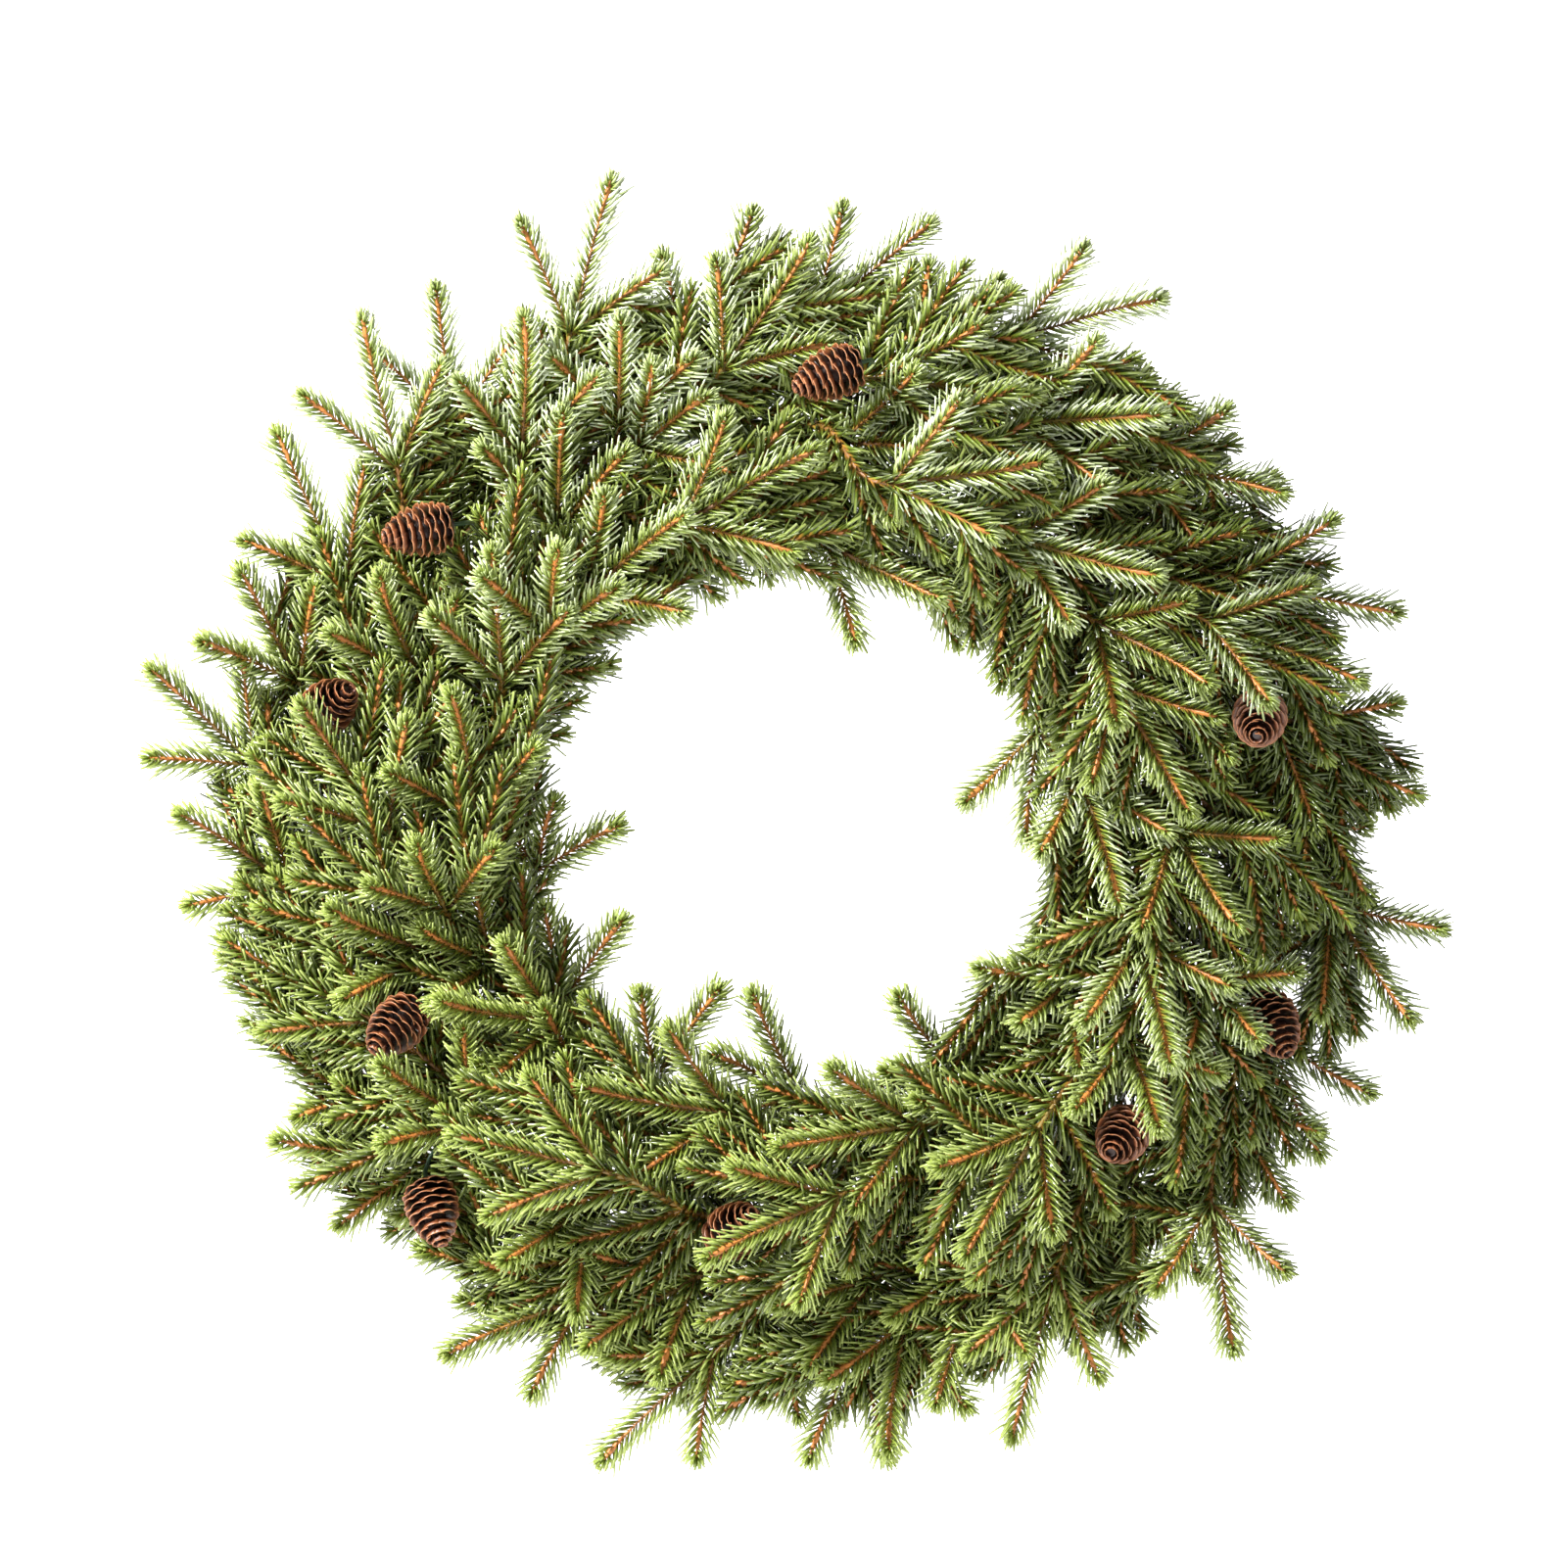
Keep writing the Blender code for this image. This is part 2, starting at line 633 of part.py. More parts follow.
def build_branches(branches, cones, mat, collection):
    profile = triangle_profile()
    curves = [twig_curve(twig, profile) for branch in branches for twig in branch["twigs"]]
    meshes = iter(meshes_of(curves))
    needles = [[] for _ in branches]
    for index, branch in enumerate(branches):
        branch["meshes"] = [next(meshes) for _ in branch["twigs"]]
    for index, branch in enumerate(branches):
        others = [b["balls"] for i, b in enumerate(branches) if i != index]
        others += [cone["balls"] for cone in cones] + [np.array(ring_balls())]
        others += [balls for i, found in enumerate(needles) if i != index for balls in found]
        around = np.concatenate(others)
        for mesh, twig in zip(branch["meshes"], branch["twigs"]):
            own = [t.balls(8 * MM) for t in branch["twigs"] if t is not twig]
            own = np.concatenate(own + needles[index])
            needles[index] += raise_needles(mesh, twig, np.concatenate([around, own]))
    bpy.data.objects.remove(profile)
    for index, branch in enumerate(branches):
        finished(joined(f"spray_{index + 1:02d}", branch["meshes"]), mat, collection)


# A cone's outline, from its base at 0 to its nose at 1.
def cone_outline(part):
    return math.sin(math.pi * min(0.04 + 0.96 * part, 1) ** 0.72) ** 0.62


# A cone, its scales raised in staggered rows, with its wire and the end that lies on the frame.
def build_cone(number, cone, mat, collection):
    bm = bmesh.new()
    bmesh.ops.create_uvsphere(bm, u_segments=CONE_SIDES, v_segments=CONE_ROWS + 1, radius=1)
    for v in bm.verts:
        row = round(math.acos(max(-1, min(1, v.co.z))) / math.pi * (CONE_ROWS + 1))
        if row in (0, CONE_ROWS + 1):
            v.co = Vector((0, 0, -0.5 if row == CONE_ROWS + 1 else 0.5)) * CONE_LENGTH
            continue
        part = 1 - row / (CONE_ROWS + 1)
        turn = math.atan2(v.co.y, v.co.x)
        lip = row % 2
        tooth = math.cos(CONE_SIDES / 2 * (turn + (row // 2 % 2) * 2 * math.pi / CONE_SIDES))
        radius = CONE_RADIUS * cone_outline(part) * ((0.97 + 0.09 * tooth) if lip else 0.80)
        height = (part - 0.5) * CONE_LENGTH + (1.2 * MM if lip else 0)
        v.co = Vector((radius * math.cos(turn), radius * math.sin(turn), height))
    turn = cone["nose"].to_track_quat("Z", "Y").to_matrix().to_4x4()
    bmesh.ops.transform(bm, matrix=Matrix.Translation(cone["middle"]) @ turn, verts=bm.verts)
    bmesh.ops.triangulate(bm, faces=bm.faces)
    bmesh.ops.recalc_face_normals(bm, faces=bm.faces)
    body = bpy.data.meshes.new("cone")
    bm.to_mesh(body)
    bm.free()
    profile = triangle_profile()
    wire = meshes_of([twig_curve(cone["wire"], profile)])[0]
    raise_needles(wire, cone["wire"], np.zeros((0, 4)))
    bpy.data.objects.remove(profile)
    obj = joined(f"cone_{number}", [body, wire])
    return finished(obj, mat, collection)


def build_ring(mat, collection):
    bpy.ops.mesh.primitive_torus_add(major_segments=RING_STEPS, minor_segments=WIRE_SIDES,
                                     major_radius=RING_RADIUS, minor_radius=WIRE_RADIUS)
    ring = bpy.context.object
    for old in list(ring.users_collection):
        old.objects.unlink(ring)
    ring.name = "frame_ring"
    ring.data.name = "frame_ring"
    ring.data.transform(Matrix.Translation(CENTRE) @ Matrix.Rotation(math.pi / 2, 4, "X"))
    return finished(ring, mat, collection)


def main():
    for obj in list(bpy.data.objects):
        bpy.data.objects.remove(obj)
    parts = bpy.data.collections.new("door wreath")
    bpy.context.scene.collection.children.link(parts)
    steel = material("green painted steel", (0.03, 0.06, 0.03), 0.45, 0.6)
    spruce = material("moulded spruce", (0.12, 0.20, 0.06), 0.5)
    scale_brown = material("cone brown", (0.26, 0.10, 0.05), 0.6)
    branches, cones = branch_layout()
    build_ring(steel, parts)
    build_branches(branches, cones, spruce, parts)
    for number, cone in enumerate(cones, 1):
        build_cone(number, cone, scale_brown, parts)


main()
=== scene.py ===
import math
import random
from functools import reduce

import bmesh
import bpy
import numpy as np
from mathutils import Matrix, Quaternion, Vector


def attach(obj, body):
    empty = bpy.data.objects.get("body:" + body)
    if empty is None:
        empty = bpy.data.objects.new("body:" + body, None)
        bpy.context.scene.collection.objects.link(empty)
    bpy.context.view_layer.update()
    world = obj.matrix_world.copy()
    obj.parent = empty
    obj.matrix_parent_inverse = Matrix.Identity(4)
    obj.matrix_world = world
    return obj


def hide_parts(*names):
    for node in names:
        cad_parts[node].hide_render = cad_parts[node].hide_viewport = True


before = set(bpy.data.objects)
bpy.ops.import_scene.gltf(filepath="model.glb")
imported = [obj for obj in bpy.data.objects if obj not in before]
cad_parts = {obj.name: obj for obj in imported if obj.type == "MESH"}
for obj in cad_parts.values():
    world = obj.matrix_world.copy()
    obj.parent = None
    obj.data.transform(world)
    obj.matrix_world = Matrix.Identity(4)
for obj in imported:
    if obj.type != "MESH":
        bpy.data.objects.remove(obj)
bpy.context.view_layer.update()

mm = 0.001
frontWay = Vector((0, -1, 0))    # towards whoever looks at the door

# Where everything lies, as in the solids.
frameRing = {"radius": 188 * mm, "wire": 2.4 * mm, "sides": 6}
ringMiddle = Vector((0, 0, -(frameRing["radius"] - frameRing["wire"])))
wireFlat = frameRing["wire"] * math.cos(math.pi / frameRing["sides"])

stemFoot = {"gap": 0.3 * mm, "length": 8 * mm, "radius": 1.2 * mm, "behind": 27, "cone": 0.62,
            "rise": math.radians(30), "secondLeaves": 27 * mm, "secondAngle": math.radians(38)}
twigSize = {"stem": 1.8 * mm, "fork": 1.6 * mm, "sideRoot": 0.6 * mm, "second": 0.75 * mm, "end": 0.5 * mm,
            "mainLength": 72 * mm, "sideLength": 53 * mm, "sideAngle": math.radians(39),
            "mostRise": 42 * mm, "leastLift": 13 * mm, "stemStep": 48 * mm, "whorl": 1.8 * mm}
mainWhorls = (5 * mm, 27 * mm, 50 * mm)
sideWhorls = (5 * mm, 27 * mm)
sideTries = ((8, 0), (20, 0), (-6, 0), (32, 0), (8, 10), (-18, 0), (20, 12), (45, 0), (8, -12), (-6, 16))
coneSize = {"length": 37 * mm, "radius": 13 * mm, "wire": 1.3 * mm}
roomKept = {"core": 1.6 * mm, "sample": 2.2 * mm}
branchList = [
    [(-234, -31, -285, 3, 36), (-208, -10, -256, 13, 20)],
    [(-252, 26, -299, 71, 30), (-187, -4, -226, 54, 66)],
    [(-146, 0, -156, 59, 74), (-119, -24, -110, 9, 32)],
    [(-231, 65, -256, 117, 42), (-173, 65, -190, 114, 58)],
    [(-208, 111, -240, 182, 32)],
    [(-134, 65, -137, 125, 76), (-112, 88, -106, 126, 84)],
    [(-183, 165, -199, 235, 45), (-158, 187, -166, 250, 24)],
    [(-125, 169, -123, 235, 60), (-109, 136, -105, 191, 44)],
    [(-102, 228, -83, 300, 36), (-80, 185, -78, 233, 56)],
    [(-95, 107, -48, 142, 66), (-71, 175, -37, 198, 48)],
    [(-49, 139, 13, 172, 78)],
    [(-30, 212, 10, 270, 52), (-48, 214, -17, 286, 24)],
    [(11, 237, 67, 281, 38), (25, 178, 71, 171, 68)],
    [(18, 130, 70, 104, 58), (57, 134, 94, 120, 34)],
    [(44, 207, 115, 198, 62), (57, 214, 99, 254, 22)],
    [(48, 156, 119, 166, 80)],
    [(107, 228, 175, 245, 42), (108, 187, 173, 189, 60)],
    [(105, 132, 171, 114, 72)],
    [(165, 169, 231, 153, 44), (181, 146, 229, 130, 22)],
    [(195, 93, 266, 65, 60), (209, 114, 285, 98, 34)],
    [(144, 93, 194, 63, 82), (172, 68, 205, 30, 54)],
    [(153, 63, 186, 4, 68)],
    [(118, 43, 112, -8, 32), (137, 22, 154, -38, 56)],
    [(229, 46, 295, 12, 34), (181, -5, 208, -48, 76)],
    [(222, -5, 273, -38, 22), (256, -40, 291, -93, 40)],
    [(197, -74, 218, -102, 64), (231, -49, 259, -97, 20)],
    [(165, -56, 176, -112, 82), (135, -74, 108, -95, 44)],
    [(228, -103, 250, -157, 40), (204, -129, 235, -180, 20)],
    [(160, -102, 172, -143, 68), (163, -170, 160, -221, 30)],
    [(199, -180, 207, -246, 34)],
    [(126, -212, 105, -289, 38), (89, -209, 69, -272, 48)],
    [(117, -143, 82, -201, 78), (103, -143, 69, -161, 58)],
    [(60, -142, -5, -151, 74), (82, -125, 46, -118, 28)],
    [(55, -237, 47, -294, 50), (34, -248, 10, -300, 26)],
    [(41, -216, -6, -227, 52), (-2, -234, -24, -267, 20)],
    [(24, -174, -38, -202, 80), (5, -130, -36, -110, 30)],
    [(-35, -251, -87, -300, 34), (-44, -216, -94, -246, 46)],
    [(-27, -137, -95, -123, 72), (-63, -122, -69, -81, 30)],
    [(-96, -224, -159, -249, 40), (-94, -182, -132, -205, 58)],
    [(-85, -162, -155, -145, 78), (-94, -125, -144, -113, 62)],
    [(-112, -186, -171, -203, 26)],
    [(-170, -160, -240, -150, 42), (-148, -142, -188, -113, 54)],
    [(-108, -95, -161, -83, 74), (-107, -86, -115, -41, 34)],
    [(-185, -125, -227, -110, 24)],
    [(-194, -94, -263, -56, 38), (-167, -63, -212, -41, 70)],
    [(-140, -67, -171, -49, 62), (-160, -42, -171, -10, 86)],
]

# Each cone: the middle's x and z and its distance from the frame in mm, and the way its nose points.
coneList = [
    ((19, 207, 70), (-0.90, -0.25, -0.36)),
    ((-171, 135, 66), (-0.95, -0.28, -0.18)),
    ((-214, 54, 46), (0.55, -0.72, 0.42)),
    ((219, 47, 62), (-0.12, -0.88, -0.45)),
    ((-183, -96, 58), (-0.55, -0.62, -0.56)),
    ((-166, -182, 48), (0.25, -0.42, -0.87)),
    ((-25, -190, 58), (0.45, -0.75, 0.48)),
    ((156, -148, 40), (-0.35, -0.85, -0.40)),
    ((228, -96, 34), (0.30, -0.60, -0.74)),
]


# A point given as on the list above: from the wreath's centre, with its distance in front of the frame.
def placeOf(x, z, lift):
    return ringMiddle + Vector((x, -lift, z)) * mm


# Clock angle of a point, 0 at the top and growing clockwise.
def clockAngle(point):
    return math.degrees(math.atan2(point.x - ringMiddle.x, point.z - ringMiddle.z)) % 360


def outwardWay(angle):
    return Vector((math.sin(math.radians(angle)), 0, math.cos(math.radians(angle))))


def clockwiseWay(angle):
    return Vector((math.cos(math.radians(angle)), 0, -math.sin(math.radians(angle))))


# A smooth curve from the first of some guide points to the last, drawn towards those between.
def smoothLine(guides, steps):
    points = []
    for i in range(steps + 1):
        line = list(guides)
        while len(line) > 1:
            line = [a.lerp(b, i / steps) for a, b in zip(line, line[1:])]
        points.append(line[0])
    return points


def runningLengths(path):
    total = [0.0]
    for a, b in zip(path, path[1:]):
        total.append(total[-1] + (b - a).length)
    return total


# The point at a distance along a path.
def pointAlong(path, total, distance):
    distance = min(max(distance, 0), total[-1])
    for i in range(1, len(path)):
        if distance <= total[i] or i == len(path) - 1:
            part = (distance - total[i - 1]) / max(total[i] - total[i - 1], 1e-9)
            return path[i - 1].lerp(path[i], part)


# Distances along a twig where its mesh has a ring, with a close pair of rings at each whorl. A twig with
# needles ends at its last whorl, from where its tip is drawn out as the end needle.
def twigStations(length, whorls, joints):
    whorls = sorted(length - d for d in whorls)
    whorls = [s for s in whorls if all(abs(s - joint) > 4 * mm for joint in joints)]
    last = [] if whorls else [length]
    marks = sorted([0.0] + [s for s in joints if s < length - 8 * mm] + whorls + last)
    stations = []
    for mark, after in zip(marks, marks[1:] + [None]):
        if mark in whorls:
            stations.append(mark)
            mark += twigSize["whorl"]
        stations.append(mark)
        between = int((after - mark) / twigSize["stemStep"]) if after else 0
        stations += [mark + (after - mark) * i / (between + 1) for i in range(1, between + 1)]
    return stations


# A twig is its path, its radius at some distances along it, where its whorls of needles sit, counted from the
# tip's end, and where other twigs leave it, counted from its start.
class Twig:
    def __init__(self, path, radii, whorls=(), joints=()):
        self.path = path
        self.total = runningLengths(path)
        self.length = self.total[-1]
        self.radii = radii
        self.stations = twigStations(self.length, whorls, joints)

    def point(self, distance):
        return pointAlong(self.path, self.total, distance)

    def radius(self, distance):
        return float(np.interp(distance, [d for d, _ in self.radii], [r for _, r in self.radii]))

    # Balls of the twig's own radius along the straight stretches of its mesh, which stand for it when room
    # is measured.
    def balls(self, skip=0.0):
        marks = self.stations + [self.length]
        corners = [self.point(s) for s in marks]
        steps = max(1, int((self.length - skip) / roomKept["sample"]))
        found = []
        for i in range(steps + 1):
            s = skip + (self.length - skip) * i / steps
            after = next((k for k, mark in enumerate(marks) if mark > s), len(marks) - 1)
            part = (s - marks[after - 1]) / max(marks[after] - marks[after - 1], 1e-9)
            found.append((*corners[after - 1].lerp(corners[after], part), self.radius(s)))
        return found


# The smallest room between two sets of balls.
def roomBetween(a, b):
    if len(a) == 0 or len(b) == 0:
        return math.inf
    squared = (a[:, None, :3] - b[None, :, :3]) ** 2
    apart = np.sqrt(squared.sum(axis=2)) - a[:, None, 3] - b[None, :, 3]
    return float(apart.min())


def ballsNear(balls, middle, reach):
    return balls[np.linalg.norm(balls[:, :3] - np.array(middle), axis=1) < reach]


# The first of some shapes that is clear of the balls around it, or else the clearest.
def clearestOf(shapes, around, skip=0.0):
    best = None
    for twig in shapes:
        clear = roomBetween(np.array(twig.balls(skip)), around)
        if best is None or clear > best[0]:
            best = (clear, twig)
        if clear >= roomKept["core"]:
            break
    return best


# Feet stand evenly round the ring, each some way behind its branch's first fork.
def footAngles():
    forks = [clockAngle(placeOf(*branch[0][:2], 0)) for branch in branchList]
    order = sorted(range(len(branchList)), key=lambda i: forks[i])
    pitch = 360 / len(branchList)
    start = sum(forks[i] - pitch * k for k, i in enumerate(order)) / len(order) - stemFoot["behind"]
    return {i: (start + pitch * k) % 360 for k, i in enumerate(order)}, pitch


# The two ends of the stretch where a stem or a wire lies along the front of the frame.
def footEnds(angle, length=stemFoot["length"]):
    middle = ringMiddle + outwardWay(angle) * frameRing["radius"]
    middle = middle + frontWay * (wireFlat + stemFoot["gap"] + stemFoot["radius"])
    half = clockwiseWay(angle) * length / 2
    return [middle - half, middle + half]


def ringBalls():
    count = int(2 * math.pi * frameRing["radius"] / roomKept["sample"])
    return [(*(ringMiddle + outwardWay(360 * i / count) * frameRing["radius"]), frameRing["wire"])
            for i in range(count)]


def footBalls(angle, length=stemFoot["length"]):
    start, end = footEnds(angle, length)
    return [(*start.lerp(end, s), stemFoot["radius"]) for s in (0, 0.25, 0.5, 0.75, 1)]


# A cone's wire leaves the frame sideways, between the branches' feet, and runs into the cone's base.
def coneWires(middle, nose, angle):
    base = middle - nose * coneSize["length"] * 0.46
    footStart, start = footEnds(angle, stemFoot["length"] / 2)
    reach = (base - start).length
    for side in (1, -1, 0.3, -0.3):
        for lean in (0.5, 1.2, 0.1):
            way = (outwardWay(angle) * side + frontWay * lean).normalized()
            guides = [start, start + way * reach * 0.35, base - nose * reach * 0.3, base + nose * 3 * mm]
            path = smoothLine(guides, 10)
            yield Twig([footStart] + path, [(0, coneSize["wire"])], joints=[stemFoot["length"] / 2])


def coneBalls(middle, nose):
    return [(*(middle + nose * coneSize["length"] * s), coneSize["radius"] * r)
            for s, r in ((-0.38, 0.85), (-0.2, 1.05), (0, 1.05), (0.18, 0.9), (0.32, 0.75), (0.46, 0.45))]


def coneLayout(feet, pitch):
    cones = []
    slots = [(angle + pitch * stemFoot["cone"]) % 360 for angle in feet.values()]
    for (x, z, lift), nose in coneList:
        middle = placeOf(x, z, lift)
        nose = Vector(nose).normalized()
        base = clockAngle(middle - nose * coneSize["length"] * 0.5)
        slot = min(slots, key=lambda s: abs((s - base + 180) % 360 - 180))
        slots.remove(slot)
        cones.append({"middle": middle, "nose": nose, "foot": slot})
    feetAll = [ball for angle in feet.values() for ball in footBalls(angle)]
    for cone in cones:
        others = [ball for c in cones if c is not cone for ball in coneBalls(c["middle"], c["nose"])]
        wires = coneWires(cone["middle"], cone["nose"], cone["foot"])
        cone["wire"] = clearestOf(wires, np.array(feetAll + others), stemFoot["length"] * 0.5)[1]
        body = coneBalls(cone["middle"], cone["nose"])
        cone["balls"] = np.array(footBalls(cone["foot"], stemFoot["length"] / 2) + body + cone["wire"].balls())
    return cones


# The main tips that could stand over a fork and its end as seen from the front, at a few distances from the
# frame.
def mainTips(fork, tip, bow):
    for shift in (0, 4, -4, 8, -8, 12, -12, 16, -16, 20):
        high = Vector((tip.x, min(tip.y - shift * mm, -twigSize["leastLift"]), tip.z))
        seen = Vector((tip.x - fork.x, 0, tip.z - fork.z)).length
        rise = min(math.sqrt(max(twigSize["mainLength"] ** 2 - seen ** 2, 0)), twigSize["mostRise"], -high.y * 0.6)
        low = Vector((fork.x, min(high.y + rise, -twigSize["leastLift"] / 2), fork.z))
        way = (high - low).normalized()
        across = way.cross(frontWay).normalized()
        yield Twig(smoothLine([low, low.lerp(high, 0.33), low.lerp(high, 0.66) + across * bow, high], 6),
                   [(0, twigSize["fork"]), (twigSize["mainLength"], twigSize["end"])], mainWhorls)


# The side tips that could leave a fork: how far each is turned from the plane of its fan, and how much wider
# it spreads, in degrees.
def sideTips(fork, way, side, spread, length):
    across = way.cross(frontWay).normalized() * side
    up = across.cross(way).normalized()
    if up.dot(frontWay) < 0:
        up = -up
    for turn, wide in sideTries:
        roll = math.radians(turn)
        sideways = across * math.cos(roll) + up * math.sin(roll)
        angle = spread + math.radians(wide)
        end = fork + (way * math.cos(angle) + sideways * math.sin(angle)) * length
        end.y = min(end.y, -twigSize["leastLift"])
        yield Twig(smoothLine([fork, fork.lerp(end, 0.33), fork.lerp(end, 0.66) - sideways * 2 * mm, end], 5),
                   [(0, twigSize["sideRoot"]), (length, twigSize["end"])], sideWhorls)


# Where a stem's mesh needs rings: a branch's first stem has one where it leaves the frame and one where the
# second stem leaves it.
def stemJoints(lead):
    return [stemFoot["length"], stemFoot["secondLeaves"]] if len(lead) > 1 else []


# A first stem keeps clear of the frame along its foot; a second one starts inside the first.
def stemRadii(lead):
    start = [(0, twigSize["second"])]
    if len(lead) > 1:
        start = [(0, stemFoot["radius"]), (stemFoot["length"] + 1 * mm, stemFoot["radius"])]
    return start + [(stemFoot["secondLeaves"], twigSize["stem"])]


# The stems that could run from the foot to the fork.
def stemsBetween(lead, startWay, fork, way):
    start = lead[-1]
    reach = (fork - start).length
    across = startWay.cross(frontWay).normalized()
    for front, side in sorted(((f, s) for f in range(-24, 33, 8) for s in range(-24, 25, 8)),
                              key=lambda pair: abs(pair[0]) + abs(pair[1])):
        first, last = start + startWay * reach * 0.3, fork - way * reach * 0.3
        middle = first.lerp(last, 0.5) + (frontWay * front + across * side) * 2 * mm
        path = smoothLine([start, first, middle, last, fork], 10)
        if max(point.y for point in path) < -3 * mm:
            yield Twig(lead[:-1] + path, stemRadii(lead), joints=stemJoints(lead))


# The twigs of one forked end and its stem: the first main tip tried that leaves enough room to what is around
# them, or else the one that leaves the most.
def forkedEnd(seen, lead, startWay, around, rng):
    seenFork, seenTip = placeOf(*seen[:2], seen[4]), placeOf(*seen[2:4], seen[4])
    bow = rng.uniform(-4, 4) * mm
    spreads = [twigSize["sideAngle"] + rng.uniform(-0.09, 0.09) for _ in range(2)]
    sideLengths = [twigSize["sideLength"] * rng.uniform(0.92, 1.08) for _ in range(2)]
    best = None
    for main in mainTips(seenFork, seenTip, bow):
        tight = roomBetween(np.array(main.balls()), around)
        if best is not None and tight < min(best[0], roomKept["core"]):
            continue
        fork = main.path[0]
        way = (main.path[-1] - fork).normalized()
        skip = stemFoot["length"] * 2 if len(lead) > 1 else 0
        clear, stem = clearestOf(stemsBetween(lead, startWay, fork, way), around, skip)
        tight = min(tight, clear)
        joints = [stem.length] + stemJoints(lead)
        radii = stemRadii(lead) + [(stem.length, twigSize["fork"]), (stem.length + main.length, twigSize["end"])]
        twigs = [Twig(stem.path + main.path[1:], radii, mainWhorls, joints)]
        for side, spread, length in zip((-1, 1), spreads, sideLengths):
            clear, twig = clearestOf(sideTips(fork, way, side, spread, length), around)
            tight = min(tight, clear)
            twigs.append(twig)
        if best is None or tight > best[0]:
            best = (tight, twigs)
        if tight >= roomKept["core"]:
            break
    return best[1]


# The way the first stem leaves the frame, towards its fork.
def firstWay(angle, seen):
    out = max(-0.7, min(0.7, (math.hypot(*seen[:2]) * mm - frameRing["radius"]) / (50 * mm)))
    return (clockwiseWay(angle) + outwardWay(angle) * out + frontWay * math.tan(stemFoot["rise"])).normalized()


# The way the second stem leaves the first one, at an angle to it and towards its own fork.
def secondWay(stem, seen):
    start = stem.point(stemFoot["secondLeaves"])
    alongFirst = (stem.point(stemFoot["secondLeaves"] + 2 * mm) - start).normalized()
    axis = alongFirst.cross(placeOf(*seen[:2], seen[4] * 0.7) - start).normalized()
    return Matrix.Rotation(stemFoot["secondAngle"], 3, axis) @ alongFirst


# A branch: its foot on the frame, and its forked ends, the second leaving the first one's stem.
def branchTwigs(index, angle, others):
    twigs = []
    for number, seen in enumerate(branchList[index]):
        rng = random.Random(index * 10 + number)
        own = [ball for twig in twigs for ball in twig.balls(stemFoot["secondLeaves"] * 1.6 if twig is twigs[0] else 0)]
        around = ballsNear(others, placeOf(*seen[:2], seen[4]), 150 * mm)
        around = np.concatenate([around, np.array(own).reshape(-1, 4)])
        lead = [twigs[0].point(stemFoot["secondLeaves"])] if number else footEnds(angle)
        startWay = secondWay(twigs[0], seen) if number else firstWay(angle, seen)
        twigs += forkedEnd(seen, lead, startWay, around, rng)
    balls = np.array(footBalls(angle) + [ball for twig in twigs for ball in twig.balls()])
    return {"twigs": twigs, "balls": balls}


# Each branch takes a shape near the one read from the photograph that is clear of the others.
def branchLayout():
    feet, pitch = footAngles()
    cones = coneLayout(feet, pitch)
    placed = {("cone", i): cone["balls"] for i, cone in enumerate(cones)}
    placed["ring"] = np.array(ringBalls())
    for i, angle in feet.items():
        placed[("branch", i)] = np.array(footBalls(angle))
    branches = []
    for index in range(len(branchList)):
        others = np.concatenate([balls for key, balls in placed.items() if key != ("branch", index)])
        branches.append(branchTwigs(index, feet[index], others))
        placed[("branch", index)] = branches[-1]["balls"]
    return branches, cones




# Smaller twigs on the stems behind the forked ends. Each one goes where the ring of foliage is still thin when
# seen from the front, starts on a stem and sweeps the same way as it.
backTwigs = {"lengths": (56 * mm, 46 * mm, 38 * mm), "drops": (0.12, 0.42, 0.3), "firstAt": 9 * mm, "lastPart": 0.82,
             "every": 9 * mm, "leans": (-70, -52, -36, -18, 18, 36, 52, 70), "leastSweep": 0.15, "steps": 10,
             "curl": 1.4, "bow": 5 * mm, "inner": 118 * mm, "offCentre": 5.3 * mm, "offCentreAt": 161,
             "outer": 271 * mm, "wider": 10 * mm, "widestAt": 135, "ragged": 13 * mm,
             "waves": ((0.6, 17, 0), (0.4, 29, 60)), "pastInner": 3 * mm, "pastOuter": 6 * mm, "rim": 12 * mm,
             "layers": 2.8, "rimLayers": 1.5, "halfBrush": 8 * mm, "brushWeights": (0.5, 0.9, 1.0), "cell": 3 * mm,
             "cells": 220, "leastNew": 0.2, "most": 860, "deepest": -7.5 * mm, "room": 2.8 * mm,
             "fromCone": 4 * mm, "besideCone": 5 * mm, "wireBall": 3 * mm}


# The dense foliage ends a little further out at the lower right than at the upper left, and its edge is ragged.
def foliageEdge(angle):
    ragged = sum(share * math.cos(math.radians(times * angle + first)) for share, times, first in backTwigs["waves"])
    return (backTwigs["outer"] + backTwigs["wider"] * math.cos(math.radians(angle - backTwigs["widestAt"]))
            + backTwigs["ragged"] * ragged)


def innerEdge(angle):
    return backTwigs["inner"] + backTwigs["offCentre"] * math.cos(math.radians(angle - backTwigs["offCentreAt"]))


# The squares that a twig hides from the front, and how well: best under the twig, less towards the needles' ends.
def squaresUnder(points, way):
    side = Vector((-way.z, 0, way.x)).normalized()
    found = {}
    for point in points:
        for k in (-2, -1, 0, 1, 2):
            spot = point - ringMiddle + side * (backTwigs["halfBrush"] * k / 2)
            column, row = (int(math.floor(v / backTwigs["cell"])) + backTwigs["cells"] // 2 for v in (spot.x, spot.z))
            square = column * backTwigs["cells"] + row
            found[square] = max(found.get(square, 0), backTwigs["brushWeights"][2 - abs(k)])
    return found


